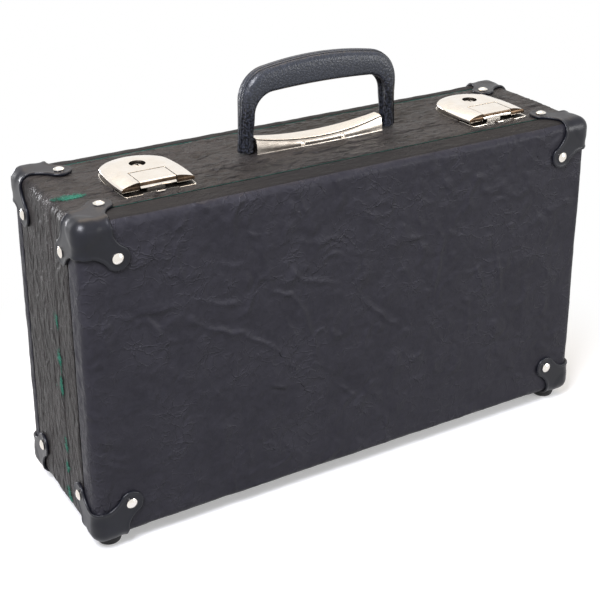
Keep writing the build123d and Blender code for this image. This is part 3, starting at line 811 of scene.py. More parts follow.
def fastener_tree():
    """Puts a copy of an object on each point, its Z along the point's direction."""
    tree = bpy.data.node_groups.new("fasteners_on_points", "GeometryNodeTree")
    face = tree.interface
    for label, kind in (("Geometry", "NodeSocketGeometry"), ("Fastener", "NodeSocketObject"),
                        ("Size", "NodeSocketFloat"), ("Finish", "NodeSocketMaterial")):
        face.new_socket(label, in_out="INPUT", socket_type=kind)
    face.new_socket("Geometry", in_out="OUTPUT", socket_type="NodeSocketGeometry")
    given = add(tree, "NodeGroupInput").outputs
    outward = add(tree, "GeometryNodeInputNamedAttribute", {"Name": "outward"},
                  data_type="FLOAT_VECTOR")
    spin = add(tree, "GeometryNodeInputNamedAttribute", {"Name": "spin"}, data_type="FLOAT")
    aligned = add(tree, "FunctionNodeAlignRotationToVector", {"Vector": outward.outputs[0]},
                  axis="Z")
    twist = add(tree, "FunctionNodeAxisAngleToRotation", {"Axis": (0, 0, 1),
                                                          "Angle": spin.outputs[0]})
    turned_to = add(tree, "FunctionNodeRotateRotation", {"Rotation": aligned.outputs[0],
                                                         "Rotate By": twist.outputs[0]},
                    rotation_space="LOCAL")
    points = add(tree, "GeometryNodeMeshToPoints", {"Mesh": given["Geometry"]})
    shape = add(tree, "GeometryNodeObjectInfo", {"Object": given["Fastener"]})
    copies = add(tree, "GeometryNodeInstanceOnPoints",
                 {"Points": points.outputs[0], "Instance": shape.outputs["Geometry"],
                  "Rotation": turned_to.outputs[0], "Scale": given["Size"]})
    real = add(tree, "GeometryNodeRealizeInstances", {"Geometry": copies.outputs[0]})
    smooth = add(tree, "GeometryNodeSetShadeSmooth", {"Geometry": real.outputs[0]})
    finished = add(tree, "GeometryNodeSetMaterial", {"Geometry": smooth.outputs[0],
                                                     "Material": given["Finish"]})
    add(tree, "NodeGroupOutput", {"Geometry": finished.outputs[0]})
    return tree


fastener_nodes = fastener_tree()


def set_inputs(mod, values):
    """Modifier inputs by the names of their sockets."""
    for item in mod.node_group.interface.items_tree:
        if item.in_out == "INPUT" and item.name in values:
            mod[item.identifier] = values[item.name]


def fasten(name, shape, spots, finish, body, node, size=1.0, sharp=40):
    """Copies of a shape at spots of (point, outward direction, spin), as one plain mesh."""
    mesh = bpy.data.meshes.new(name + "_points")
    mesh.from_pydata([tuple(np.array(p) * MM) for p, _, _ in spots], [], [])
    outward = mesh.attributes.new("outward", "FLOAT_VECTOR", "POINT")
    outward.data.foreach_set("vector", np.array([d for _, d, _ in spots], np.float32).ravel())
    spin = mesh.attributes.new("spin", "FLOAT", "POINT")
    spin.data.foreach_set("value", np.array([s for _, _, s in spots], np.float32))
    holder = loose_object(name + "_points", mesh)
    pattern = loose_object(name + "_shape", shape)
    mod = holder.modifiers.new("fasteners", "NODES")
    mod.node_group = fastener_nodes
    set_inputs(mod, {"Fastener": pattern, "Size": size, "Finish": finish})
    result = evaluated_mesh(holder)
    bpy.data.objects.remove(pattern)
    result.materials.clear()
    piece = finish_piece(name, result, (finish,), body, None, sharp)
    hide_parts(node)
    return piece


def dome_profile(radius, height, rim, steps=7):
    """Side view of a domed head, from its seat up to its crown."""
    ball = (radius ** 2 + (height - rim) ** 2) / (2 * (height - rim))
    full = math.asin(radius / ball)
    dome = [(ball * math.sin(full * (1 - k / steps)),
             height - ball + ball * math.cos(full * (1 - k / steps))) for k in range(steps + 1)]
    dome[-1] = (0, height)
    return [(0, -0.6), (radius - 0.5, -0.6), (radius - 0.1, 0.0), (radius, rim * 0.5)] + dome


rivet_inset = 30.0
rivet_head = (4.5, 1.95, 0.35)
rivet_shape = mesh_of("rivet_head", *turned(dome_profile(*rivet_head), 40))
spin_of = np.random.default_rng(7)
for half, y_face, y_dir in (("lid", case_low[1], -1), ("base", case_high[1], 1)):
    spots = []
    for z_face, z_dir in ((case_high[2], 1), (case_low[2], -1)):
        for x_face, x_dir in ((case_low[0], -1), (case_high[0], 1)):
            x_in = x_face - x_dir * rivet_inset
            y_in = y_face - y_dir * rivet_inset
            z_in = z_face - z_dir * rivet_inset
            spots.append(((x_in, y_face + y_dir * guard_t, z_in), (0, y_dir, 0)))
            spots.append(((x_in, y_in, z_face + z_dir * guard_t), (0, 0, z_dir)))
            spots.append(((x_face + x_dir * guard_t, y_in, z_in), (x_dir, 0, 0)))
    # each rivet was clenched by hand, so it sits a degree or two off square
    loose = []
    for point, way in spots:
        lean = np.array(way, float) + spin_of.normal(size=3) * 0.025
        loose.append((point, lean / np.linalg.norm(lean), spin_of.uniform(0, 6.28)))
    fasten(f"{half}_guard_rivets", rivet_shape.copy(), loose, rivet_nickel, half,
           f"{half}_corner_rivets")


# Feet

foot_profile = [(0, 0.0), (8.4, 0.0), (9.1, 0.25), (9.5, 0.8), (10.35, 3.2), (10.5, 4.2),
                (10.5, 6.6), (10.2, 7.2), (2.6, 7.2), (2.6, 16.0), (0, 16.0)]
for half, y_foot in (("lid", -56.5), ("base", 56.5)):
    rounds = [mesh_of("foot", *turned(foot_profile, 48, (x_foot, y_foot, 0)))
              for x_foot in (-229.0, 229.0)]
    feet = finish_piece(f"{half}_round_feet", joined(rounds), (foot_plastic,), half,
                        None, 35)
    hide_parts(f"{half}_feet")


# Latches

plate_half = 31.0
cover_front = -33.5
cover_corner = (29.0, 19.5)
cover_back = 34.5
cover_side = 32.0
cover_top = 9.0
hasp_pin_y = -13.0
hasp_pin_up = 6.2
hasp_half = 15.25
hasp_opening = 15.95
lock_y = 7.5
lock_hole = 6.8


def arc_points(a, b, c, count):
    """Points along the arc from a through b to c, without the last."""
    (x1, y1), (x2, y2), (x3, y3) = a, b, c
    d = 2 * (x1 * (y2 - y3) + x2 * (y3 - y1) + x3 * (y1 - y2))
    s1, s2, s3 = x1 * x1 + y1 * y1, x2 * x2 + y2 * y2, x3 * x3 + y3 * y3
    ux = (s1 * (y2 - y3) + s2 * (y3 - y1) + s3 * (y1 - y2)) / d
    uy = (s1 * (x3 - x2) + s2 * (x1 - x3) + s3 * (x2 - x1)) / d
    r = math.hypot(x1 - ux, y1 - uy)
    t0, t1, t2 = (math.atan2(y - uy, x - ux) for x, y in (a, b, c))
    while t1 < t0:
        t1 += 2 * math.pi
    while t2 < t1:
        t2 += 2 * math.pi
    turns = [t0 + (t2 - t0) * k / count for k in range(count)]
    return [(ux + r * math.cos(t), uy + r * math.sin(t)) for t in turns]


def latch_outline(y0, grow=0.0):
    """Plan outline of a latch, anticlockwise from its front right corner."""
    right = (plate_half, y0)
    corner = cover_corner
    middle = (y0 + corner[1]) / 2
    left_corner = (-corner[0], corner[1])
    line = arc_points(right, (cover_side, middle), corner, 36)
    line += arc_points(corner, (0, cover_back), left_corner, 60)
    line += arc_points(left_corner, (-cover_side, middle), (-plate_half, y0), 36)
    line += [(-plate_half, y0)]
    line = np.array(line)
    # its back corners are rounded off
    for _ in range(14):
        inner = (line[:-2] + line[2:]) / 2
        mask = (line[1:-1, 1] > 10) & (np.abs(line[1:-1, 0]) > 20)
        line[1:-1] = np.where(mask[:, None], line[1:-1] * 0.4 + inner * 0.6, line[1:-1])
    return line + outward_of(line) * grow


def outward_of(line):
    """Unit outward directions of an open anticlockwise line."""
    run = np.gradient(line, axis=0)
    run /= np.linalg.norm(run, axis=1)[:, None]
    return np.stack([run[:, 1], -run[:, 0]], -1)


def capped_stack(rings):
    """Closed solid from a stack of rings of equal length, bottom first, with n-gon ends."""
    count = len(rings[0])
    points = np.concatenate(rings)
    faces = []
    for k in range(len(rings) - 1):
        for i in range(count):
            j = (i + 1) % count
            faces.append((k * count + i, k * count + j, (k + 1) * count + j, (k + 1) * count + i))
    faces.append(tuple(range(count))[::-1])
    faces.append(tuple(range((len(rings) - 1) * count, len(rings) * count)))
    return points, faces


def latch_cover_solid(inset, low_up, drop):
    """The cover as a full solid: a rolled rim over a recess, and a pillow rising to a flat top.
    inset and drop give the inside of its sheet."""
    line = latch_outline(cover_front)
    way = outward_of(line)
    way[0], way[-1] = (1, 0), (-1, 0)
    steps = [(0.9, low_up), (0.9, 2.8), (0.25, 2.85), (0.0, 3.1), (0.0, 4.6), (0.15, 5.2),
             (0.5, 5.7), (1.1, 6.05), (2.2, 6.5), (3.6, 6.95), (5.2, 7.4), (7.0, 7.85), (8.8, 8.25),
             (10.6, 8.6), (12.2, 8.85), (13.6, cover_top)]
    rings = []
    for step, height in steps:
        if inset and step < 1:
            step = 0.9
        ring = line - way * (step + inset)
        front = cover_front + inset + (0.0 if inset or height < 5 else 0.25 * min(1, step))
        ring[0, 1] = ring[-1, 1] = front
        up = height if height == low_up else height - drop
        rings.append(np.column_stack([ring, np.full(len(ring), z_top + up)]))
    return mesh_of("cover_solid", *capped_stack(rings))


def make_latch_cover():
    """The pressed cover: a hollow sheet with the hasp's opening and the lock's cup."""
    outer = latch_cover_solid(0.0, 1.0, 0.0)
    inner = latch_cover_solid(0.9, 0.0, 0.9)
    cover = cut(outer, inner)
    cover = cut(cover, block_mesh(-hasp_opening, hasp_opening, -60, -9.5, z_top - 5, z_top + 20))
    drill = mesh_of("drill", *turned([(0, -6), (lock_hole, -6), (lock_hole, 20), (0, 20)], 64,
                                     (0, lock_y, z_top)))
    cover = cut(cover, drill)
    # over the lid it stops clear of the catch plate and its rivets
    cover = cut(cover, block_mesh(-60, 60, -60, y_base_edge, z_top - 2, z_top + 2.84))
    cup = [(lock_hole, 3.6), (7.4, 3.6), (7.4, 8.3), (lock_hole, 8.3), (lock_hole, 3.6)]
    cup = mesh_of("cup", *turned(cup, 64, (0, lock_y, z_top)))
    return joined([bevelled(cover, 0.25, 2, 40), cup])


def make_hasp():
    """Lifting tab: flat top, a rounded shoulder and a lip that curls out over the catch."""
    outer = [(-10.35, 8.3), (-10.5, 8.75), (-10.9, 9.0), (-31.4, 9.0), (-32.3, 8.85), (-32.95, 8.4),
             (-33.25, 7.7), (-33.3, 5.8), (-33.5, 5.2), (-33.95, 4.7), (-34.7, 4.35)]
    inner = [(-34.5, 3.9), (-33.6, 4.15), (-32.8, 4.8), (-32.35, 5.7), (-32.3, 7.3), (-32.0, 7.8),
             (-31.2, 7.95), (-11.6, 7.95)]
    profile = np.array(outer + inner)
    half = hasp_half
    columns = np.linspace(-half, half, 25)
    rings = []
    for x in columns:
        ring = np.column_stack([np.full(len(profile), x), profile[:, 0], profile[:, 1] + z_top])
        # the lip's lower edge is scooped in the middle for a fingertip
        low = np.clip((5.6 - profile[:, 1]) / 1.4, 0, 1)
        scoop = 0.9 * np.exp(-((x / 6.5) ** 2)) - 0.25 * np.cos(x * 0.55)
        ring[:, 2] += low * scoop * 0.6
        ring[:, 1] += low * 0.35 * np.cos(x * 0.5)
        rings.append(ring)
    tab = bevelled(mesh_of("tab", *capped_stack(rings)), 0.22, 2, 50)
    knuckle = turned([(0, -half), (2.2, -half), (2.4, -half + 0.3), (2.4, half - 0.3), (2.2, half),
                      (0, half)], 32)
    points = np.array(knuckle[0])[:, [2, 0, 1]] + (0, hasp_pin_y, z_top + hasp_pin_up)
    return joined([tab, mesh_of("knuckle", points, knuckle[1])])


def plate_solid(line, low, high, crown):
    """A flat plate with a rolled rim: its edge stands a little above its field."""
    way = outward_of(np.vstack([line[-1:], line, line[:1]]))[1:-1]
    rings = []
    for inset, up in ((0.5, low), (0.12, low + 0.15), (0.0, low + 0.5), (0.12, high - 0.1),
                      (0.5, high), (0.95, high - 0.08), (1.3, high - crown)):
        ring = line - way * inset
        rings.append(np.column_stack([ring, np.full(len(ring), z_top + up)]))
    return mesh_of("plate", *capped_stack(rings))


def rounded_line(corners, radii, steps=6):
    """Closed anticlockwise line through corners, each rounded off."""
    result = []
    count = len(corners)
    for k in range(count):
        here = np.array(corners[k], float)
        before = np.array(corners[k - 1], float) - here
        after = np.array(corners[(k + 1) % count], float) - here
        before /= np.linalg.norm(before)
        after /= np.linalg.norm(after)
        half_turn = math.acos(np.clip(before @ after, -1, 1)) / 2
        reach = radii[k] / math.tan(half_turn)
        between = (before + after) / np.linalg.norm(before + after)
        middle = here + between * radii[k] / math.sin(half_turn)
        a, b = here + before * reach - middle, here + after * reach - middle
        t0, t1 = math.atan2(a[1], a[0]), math.atan2(b[1], b[0])
        if t1 < t0:
            t1 += 2 * math.pi
        for i in range(steps + 1):
            t = t0 + (t1 - t0) * i / steps
            result.append(middle + radii[k] * np.array((math.cos(t), math.sin(t))))
    return np.array(result)


def make_catch_plate():
    """The lid's half of a latch: a rimmed plate, notched in front of the hasp, and its keeper."""
    line = rounded_line(((-30.5, -39.0), (30.5, -39.0), (31.2, -18.4), (-31.2, -18.4)),
                        (2.2, 2.2, 0.5, 0.5))
    plate = plate_solid(line, 0.0, 1.15, 0.25)
    notch = block_mesh(-15.6, 15.6, -42, -36.3, z_top - 1, z_top + 3)
    plate = bevelled(cut(plate, notch), 0.12, 2, 50)
    tongue = bevelled(block_mesh(-3.4, 3.4, -39.0, -35.5, z_top + 0.1, z_top + 1.5), 0.6, 3, 40)
    edge = rounded_line(((-8, -29), (8, -29), (8, -25), (-8, -25)), (0.8,) * 4)
    keeper = mesh_of("keeper", *capped_stack([
        np.column_stack([edge, np.full(len(edge), z_top + up)]) for up in (0.4, 2.7, 3.1)]))
    return joined([plate, tongue, bevelled(keeper, 0.2, 2, 40)])


def make_latch_plate():
    """The base's lower plate, with two lugs that hold the hasp's pin."""
    line = latch_outline(-17.0, 0.5)
    plate = plate_solid(line, 0.0, 1.15, 0.2)
    lugs = [bevelled(block_mesh(x, x + 1.2, hasp_pin_y - 2.5, hasp_pin_y + 2.5, z_top + 0.5,
                                z_top + 7.6), 0.3, 2) for x in (-17.2, 16.0)]
    return joined([plate] + lugs)


def make_lock():
    """Barrel in its cup: a deep ring round a raised face with its keyhole, and the cam below."""
    profile = [(0, 1.0), (4.0, 1.0), (4.0, 3.2), (6.7, 3.2), (6.7, 4.0), (5.1, 4.0), (4.9, 4.2),
               (4.8, 6.6), (4.6, 7.05), (4.2, 7.3), (2.6, 7.6), (0, 7.7)]
    barrel = mesh_of("barrel", *turned(profile, 64, (0, lock_y, z_top)))
    hole = mesh_of("hole", *turned([(0, 4.6), (1.25, 4.6), (1.25, 9), (0, 9)], 32,
                                   (0, lock_y + 0.6, z_top)))
    barrel = cut(barrel, hole)
    slot = block_mesh(-0.5, 0.5, lock_y - 2.6, lock_y, z_top + 4.8, z_top + 9)
    barrel = cut(barrel, slot)
    cam = bevelled(block_mesh(0, 11.5, lock_y - 3, lock_y + 3, z_top + 1.6, z_top + 2.8), 0.3, 2)
    return joined([bevelled(barrel, 0.15, 2, 50), cam])


latch_cover_mesh = make_latch_cover()
hasp_mesh = make_hasp()
catch_mesh = make_catch_plate()
plate_mesh = make_latch_plate()
lock_mesh = make_lock()


def shade_of(part, p, n):
    """Finish of a latch part's face by its centre in millimetres and its normal: 0 polished,
    1 near black: the oiled steel inside, and painted shade under the cover's rim, in the lock's cup
                  and keyhole and on the plates' fields under cover and hasp, 2 a painted dark-brown
                  reflection on the front walls of cover and hasp."""
    up = p[2] - z_top
    from_lock = math.hypot(p[0], p[1] - lock_y)
    if part == "latch_top":
        # painted dark-brown reflection of the leatherette on the cover's front wall
        if n[1] < -0.8 and p[1] < -32.9 and up > 3.2:
            return 2
        # oiled steel on the inside; painted shade under the rim and in the lock's cup
        return int(up < 2.9 or n[2] < -0.3 or from_lock < 7.45 and up < 8.95)
    if part == "hasp_tab":
        # painted dark-brown reflection on the hasp's front wall
        return 2 * int(n[1] < -0.8 and up > 5.6)
    if part == "catch":
        # the catch plate's field under the hasp is painted dark as shade
        return int(n[2] > 0.8 and abs(p[0]) < 28.5 and p[1] > -37.2 and up < 1.1)
    if part == "latch_base":
        # the lower plate's field under the cover is painted dark as shade
        return int(n[2] > 0.8 and up < 1.0)
    # the barrel's lower part and its keyhole are painted dark as shade
    return int(up < 5.2 or from_lock < 1.7 and n[2] < 0.5)


for side, x_mid in latch_places:
    for part, mesh, finish, body, slot, node in (
            ("latch_top", latch_cover_mesh, latch_nickel, "base", "latch_nickel", "latch_cover"),
            ("hasp_tab", hasp_mesh, latch_nickel, f"{side}_hasp", "latch_nickel", "hasp"),
            ("catch", catch_mesh, latch_nickel, "lid", "latch_nickel", "catch_plate"),
            ("latch_base", plate_mesh, latch_nickel, "base", "latch_nickel", "latch_plate"),
            ("lock_barrel", lock_mesh, lock_nickel, f"{side}_lock", "lock_nickel", "lock")):
        which = [shade_of(part, np.array(f.center) / MM, f.normal) for f in mesh.polygons]
        piece = finish_piece(f"{side}_{part}", shifted(mesh, x_mid),
                             (finish, dark_steel, painted_reflection_steel), body, which, 40)
        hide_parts(f"{side}_{node}")


# Handle: a moulded grip with rounded edges, a parting line round it and a channel inside

handle_half = 77.6
handle_top_z = z_top + 78.0
leg_bottom_z = z_top + 2.0
handle_y = 5.0


def grip_line():
    """Matching outer and inner points in (x, z), from the left leg's foot to the right one's."""
    outer = []
    inner = []
    arch, outer_turn, inner_turn, lean = 4.4, 27.0, 19.0, 1.8
    inner_top = handle_top_z - 24.0
    inner_half = handle_half - 12.6
    for z in np.linspace(0, 1, 12):
        outer.append((-handle_half + lean * z,
                      leg_bottom_z + z * (handle_top_z - arch - outer_turn - leg_bottom_z)))
        inner.append((-inner_half,
                      leg_bottom_z + z * (inner_top - 1.5 - inner_turn - leg_bottom_z)))
    for t in np.linspace(0, math.pi / 2 - 0.09, 14)[1:]:
        outer.append((-handle_half + lean + outer_turn * (1 - math.cos(t)),
                      handle_top_z - arch - outer_turn + outer_turn * math.sin(t)))
        inner.append((-inner_half + inner_turn * (1 - math.cos(t)),
                      inner_top - 1.5 - inner_turn + inner_turn * math.sin(t)))
    x0, z0 = outer[-1]
    x1, z1 = inner[-1]
    for t in np.linspace(0, 1, 20)[1:]:
        u = 1 - t
        outer.append((x0 * u, z0 + (handle_top_z - z0) * (1 - u * u)))
        inner.append((x1 * u, z1 + (inner_top - z1) * (1 - u * u)))
    outer += [(-x, z) for x, z in outer[-2::-1]]
    inner += [(-x, z) for x, z in inner[-2::-1]]
    return np.array(outer), np.array(inner)


def grip_section():
    """Section across the grip: across runs 0 inside to 1 outside, depth -1 front to 1 back.
    Gives (across, inward mm, depth, forward mm) so that corners keep their size."""
    turn, inner_turn, bulge = 5.6, 3.2, 0.7
    points = []
    # outer side with a fine raised parting line at its middle
    for depth, lift in ((-0.45, 0.25), (-0.12, 0.3), (-0.09, 0.75), (0.09, 0.75), (0.12, 0.3),
                        (0.45, 0.25)):
        points.append((1, lift - 0.6, depth, 0))
    for t in np.linspace(math.pi / 2, 0, 6):
        points.append((1, -turn * (1 - math.sin(t)) - 0.6, 1, -turn * (1 - math.cos(t)) - bulge))
    points.append((0.5, 0, 1, 0))
    for t in np.linspace(0, -math.pi / 2, 6):
        points.append((0, inner_turn * (1 + math.sin(t)), 1,
                       -inner_turn * (1 - math.cos(t)) - bulge))
    # channel in the inner side
    points += [(0, 0, 0.5, 0), (0, 0.35, 0.44, 0), (0, 2.4, 0.38, 0), (0, 2.8, 0.3, 0),
               (0, 2.8, -0.3, 0), (0, 2.4, -0.38, 0), (0, 0.35, -0.44, 0), (0, 0, -0.5, 0)]
    for t in np.linspace(-math.pi / 2, 0, 6):
        points.append((0, inner_turn * (1 + math.sin(t)), -1,
                       inner_turn * (1 - math.cos(t)) + bulge))
    points.append((0.5, 0, -1, 0))
    for t in np.linspace(0, math.pi / 2, 6):
        points.append((1, -turn * (1 - math.sin(t)) - 0.6, -1, turn * (1 - math.cos(t)) + bulge))
    return points


def make_grip():
    """The section swept along the grip, deeper at its top than at its legs."""
    section = grip_section()
    rings = []
    for o, i in zip(*grip_line()):
        run = (o - i) / np.linalg.norm(o - i)
        height = min(o[1], i[1] + 30)
        half = 6.5 + 2.5 * smooth_step(leg_bottom_z + 16, leg_bottom_z + 46, height)
        ring = []
        for across, inward, depth, forward in section:
            p = i + (o - i) * across + run * inward
            ring.append((p[0], handle_y + depth * half + forward, p[1]))
        rings.append(np.array(ring))
    points, faces = capped_stack(rings)
    mesh = mesh_of("grip", points, faces)
    return bevelled(mesh, 3.4, 5, 60)


grip = finish_piece("handle_moulded_grip", shifted(make_grip(), hardware_x + 1.5),
                    (grip_plastic,), "handle", None, 40)
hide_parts("handle_grip")


# Saddle plate under the handle: a lens-shaped crest, a fine step and satin flanks

saddle_half = 62.5


def saddle_shape(x):
    """Height of the crest and half widths of crest and foot, at a place along the plate."""
    s = (x / saddle_half) ** 2
    return 7.0 + 6.5 * s, 8.5 - 3.4 * s, 10.5 - 2.2 * s


def saddle_mesh():
    """The pressed plate: bulged flanks, a step, and a crest that dips in the middle."""
    rings = []
    for x in np.linspace(-saddle_half, saddle_half, 61):
        top, crest, foot = saddle_shape(x)
        section = [(-foot, 0.0), (-foot, 0.6), (-foot + 0.3, 1.0)]
        start, stop = np.array((-foot + 0.3, 1.0)), np.array((-crest - 0.95, top - 1.5))
        for t in (0.25, 0.5, 0.75, 1.0):
            bulge = 0.8 * math.sin(math.pi * t)
            section.append(tuple(start + (stop - start) * t + (-bulge * 0.8, bulge * 0.4)))
        section += [(-crest - 0.75, top - 1.25), (-crest + 0.15, top - 1.45), (-crest, top - 0.45),
                    (-crest + 0.1, top - 0.12), (-crest + 0.45, top), (-crest * 0.5, top + 0.14)]
        section.append((0, top + 0.2))
        section += [(-y, z) for y, z in section[-2::-1]]
        rings.append(np.array([(x, y + handle_y, z_top + z) for y, z in section]))
    solid = mesh_of("saddle", *capped_stack(rings))
    hollow = []
    for x in np.linspace(-saddle_half - 1, saddle_half + 1, 21):
        top, crest, foot = saddle_shape(np.clip(x, -saddle_half, saddle_half))
        section = [(-foot + 1.3, -1.0), (-foot + 1.3, 0.9), (-crest + 0.6, top - 2.3),
                   (crest - 0.6, top - 2.3), (foot - 1.3, 0.9), (foot - 1.3, -1.0)]
        hollow.append(np.array([(x, y + handle_y, z_top + z) for y, z in section]))
    return cut(solid, mesh_of("hollow", *capped_stack(hollow)))


def saddle_finish(face):
    """0 on the polished crest, 1 on the satin flanks, 2 painted shade in the step between them."""
    p = np.array(face.center) / MM
    top, crest, foot = saddle_shape(np.clip(p[0], -saddle_half, saddle_half))
    off = abs(p[1] - handle_y)
    # painted shade in the step between crest and flank
    if p[2] - z_top > top - 1.46 and crest - 0.05 < off < crest + 0.76:
        return 2
    return 1 if off > crest + 0.2 or p[2] - z_top < top - 1.4 else 0


whole = saddle_mesh()
saddle = finish_piece("handle_saddle", shifted(whole, hardware_x),
                      (saddle_nickel, flank_nickel, dark_steel), "base",
                      [saddle_finish(f) for f in whole.polygons], 38)
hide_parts("handle_plate")

screw_head = [(0, -0.8), (2.3, -0.8), (2.35, 0.12), (2.2, 0.3), (1.85, 0.12), (1.75, -0.35),
              (1.6, -0.45), (1.5, 0.1), (1.2, 0.5), (0.7, 0.7), (0, 0.75)]
screw_mesh = mesh_of("screw_head", *turned(screw_head, 28))
screw_mesh = cut(screw_mesh, block_mesh(-3, 3, -0.22, 0.22, 0.25, 2))
spots = []
for x, turn in ((-20.0, 0.5), (20.0, 1.9)):
    for way in (-1, 1):
        spots.append(((hardware_x + x, handle_y + way * 10.35, z_top + 3.5),
                      (0, way * 0.93, 0.37), turn))
fasten("handle_saddle_screws", screw_mesh, spots, saddle_nickel, "base",
       "handle_plate_screws")


# Linings: plush over thin padding, its corners soft


def make_lining(name, y_panel, y_open, body, node, seed):
    """Tray against a panel and the four walls, open towards the seam."""
    x_in, low_in, top_in = 238.0, 17.0, 278.0
    nap, turn = 1.7, 7.0
    toward = 1 if y_open > y_panel else -1
    low = np.array((-x_in + nap, -500.0, low_in + nap))
    high = np.array((x_in - nap, 500.0, top_in - nap))
    y_floor = y_panel + toward * nap
    if toward > 0:
        low[1] = y_floor
    else:
        high[1] = y_floor
    xs, zs = (np.unique(np.concatenate([
        np.linspace(low[k] + turn / 2, high[k] - turn / 2, count),
        low[k] + np.linspace(0, turn, 5), high[k] - np.linspace(0, turn, 5)]))
        for k, count in ((0, 150), (2, 84)))
    ys = np.unique(np.concatenate([y_floor + toward * np.linspace(0, turn, 5),
                                   np.linspace(y_floor + toward * turn, y_open, 14)]))
    patches = [patch(xs, zs, lambda x, z: np.stack([x, x * 0 + y_floor, z], -1), toward < 0),
               patch(xs, ys, lambda x, y: np.stack([x, y, x * 0 + high[2]], -1), True),
               patch(xs, ys, lambda x, y: np.stack([x, y, x * 0 + low[2]], -1), False),
               patch(zs, ys, lambda z, y: np.stack([z * 0 + low[0], y, z], -1), True),
               patch(zs, ys, lambda z, y: np.stack([z * 0 + high[0], y, z], -1), False)]
    points, faces = weld(patches)
    core = np.clip(points, low + turn, high - turn)
    away = points - core
    length = np.linalg.norm(away, axis=1)
    away /= np.maximum(length, 1e-9)[:, None]
    points = core + away * turn
    padding = 0.5 + 0.5 * field(*(points / 34).T, seed) + 0.25 * field(*(points / 11).T, seed + 1)
    # the nap thins out to the bare edge at the mouth
    mouth = smooth_step(0, 4, np.abs(points[:, 1] - y_open))
    points = points - away * (np.clip(padding, 0, 1.2) * 0.7 * mouth - 0.9 * (1 - mouth))[:, None]
    mesh = bpy.data.meshes.new("lining_sheet")
    mesh.from_pydata((points * MM).tolist(), [], faces.tolist())
    obj = loose_object("lining_work", mesh)
    mod = obj.modifiers.new("cloth", "SOLIDIFY")
    mod.thickness = 0.6 * MM
    mod.offset = -1
    lining = finish_piece(name, evaluated_mesh(obj), (velour,), body, None, 70)
    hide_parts(node)
    return lining


make_lining("lid_plush", -67.5, -23.3, "lid", "lid_lining", 71)
make_lining("base_plush", 67.5, -5.2, "base", "base_lining", 72)


# Plush fibres that escape at the seam


def fibre_tuft(name, starts, seed, body):
    """Fine fibres lying over the covering, each a thin tapered strand of three sides.
    A start is (centre, direction across, along and out, number of fibres, length of the patch)."""
    rng = np.random.default_rng(seed)
    points = []
    faces = []
    for centre, across, along, out, count, length in starts:
        centre, across, along, out = (np.array(v, float) for v in (centre, across, along, out))
        for _ in range(count):
            root = centre + across * rng.exponential(1.4) + along * rng.normal() * 0.3 * length
            way = across * rng.normal() * 0.7 + along * rng.normal() * 0.9
            way /= np.linalg.norm(way)
            reach = rng.uniform(2.0, 5.5)
            curl = rng.normal() * 0.6
            side = np.cross(way, out)
            width = rng.uniform(0.14, 0.26)
            start = len(points)
            for k in range(6):
                t = k / 5
                lift = 0.25 + 1.2 * t * (1 - t) * rng.uniform(0.5, 1.0)
                middle = root + way * reach * t + side * curl * t * t * 2 + out * lift
                thin = width * (1 - 0.7 * t)
                for turn in (0, 2.1, 4.2):
                    points.append(middle + thin * (side * math.cos(turn) + out * math.sin(turn)))
            for k in range(5):
                for j in range(3):
                    a, b = start + k * 3 + j, start + k * 3 + (j + 1) % 3
                    faces.append((a, b, b + 3, a + 3))
            faces.append((start + 2, start + 1, start))
            faces.append((start + 15, start + 16, start + 17))
    mesh = mesh_of(name, points, faces)
    return finish_piece(name, mesh, (velour_fibre,), body, None, 80)


x_left = case_low[0]
seam_y = y_base_edge
tufts = [((-228, seam_y + 0.8, z_top + 0.2), (0, 1, 0), (1, 0, 0), (0, 0, 1), 420, 15)]
for z_tuft, count, length in ((186, 30, 7), (152, 90, 10), (126, 110, 12), (72, 40, 8), (50, 50, 7),
                              (24, 60, 9)):
    tufts.append(((x_left - 0.2, seam_y + 0.6, z_tuft), (0, 1, 0), (0, 0, 1), (-1, 0, 0), count,
                  length))
fibre_tuft("seam_plush_fibres", tufts, 5, "base")


# CAD nodes that stay: boards, pins, springs and what is under the case

kept_finishes = {
    plywood: ["lid_panel", "base_panel", "locating_rim"]
    + [f"{half}_{side}_board" for half in ("lid", "base")
       for side in ("top", "bottom", "left", "right")],
    dark_steel: ["handle_pivot_blocks", "latch_rivets", "catch_rivets"],
    hinge_steel: ["handle_pivot_pins", "lid_hinge_rivets", "base_hinge_rivets",
                  "left_hinge_pin", "right_hinge_pin", "left_hasp_pin", "right_hasp_pin"],
    spring_steel: ["left_hasp_spring", "right_hasp_spring"],
}
for finish, nodes in kept_finishes.items():
    for node in nodes:
        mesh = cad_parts[node].data
        mesh.materials.clear()
        mesh.materials.append(finish)

for side in ("left", "right"):
    for half in ("lid", "base"):
        node = f"{side}_hinge_{half}_leaf"
        leaf = finish_piece(f"{side}_{half}_hinge_leaf", bevelled(cad_copy(node), 0.25, 2, 40),
                            (hinge_steel,), half, None, 40)
        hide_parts(node)


# Floor, light and camera


def seen_rays(tree):
    """1 for rays that show the floor or backdrop: straight, in a reflection or through glass.
    Gives the ray kinds too."""
    paths = add(tree, "ShaderNodeLightPath").outputs
    seen = add(tree, "ShaderNodeMath", {0: paths["Is Camera Ray"], 1: paths["Is Glossy Ray"]},
               operation="MAXIMUM")
    seen = add(tree, "ShaderNodeMath", {0: seen.outputs[0], 1: paths["Is Transmission Ray"]},
               operation="MAXIMUM")
    return paths, seen.outputs[0]


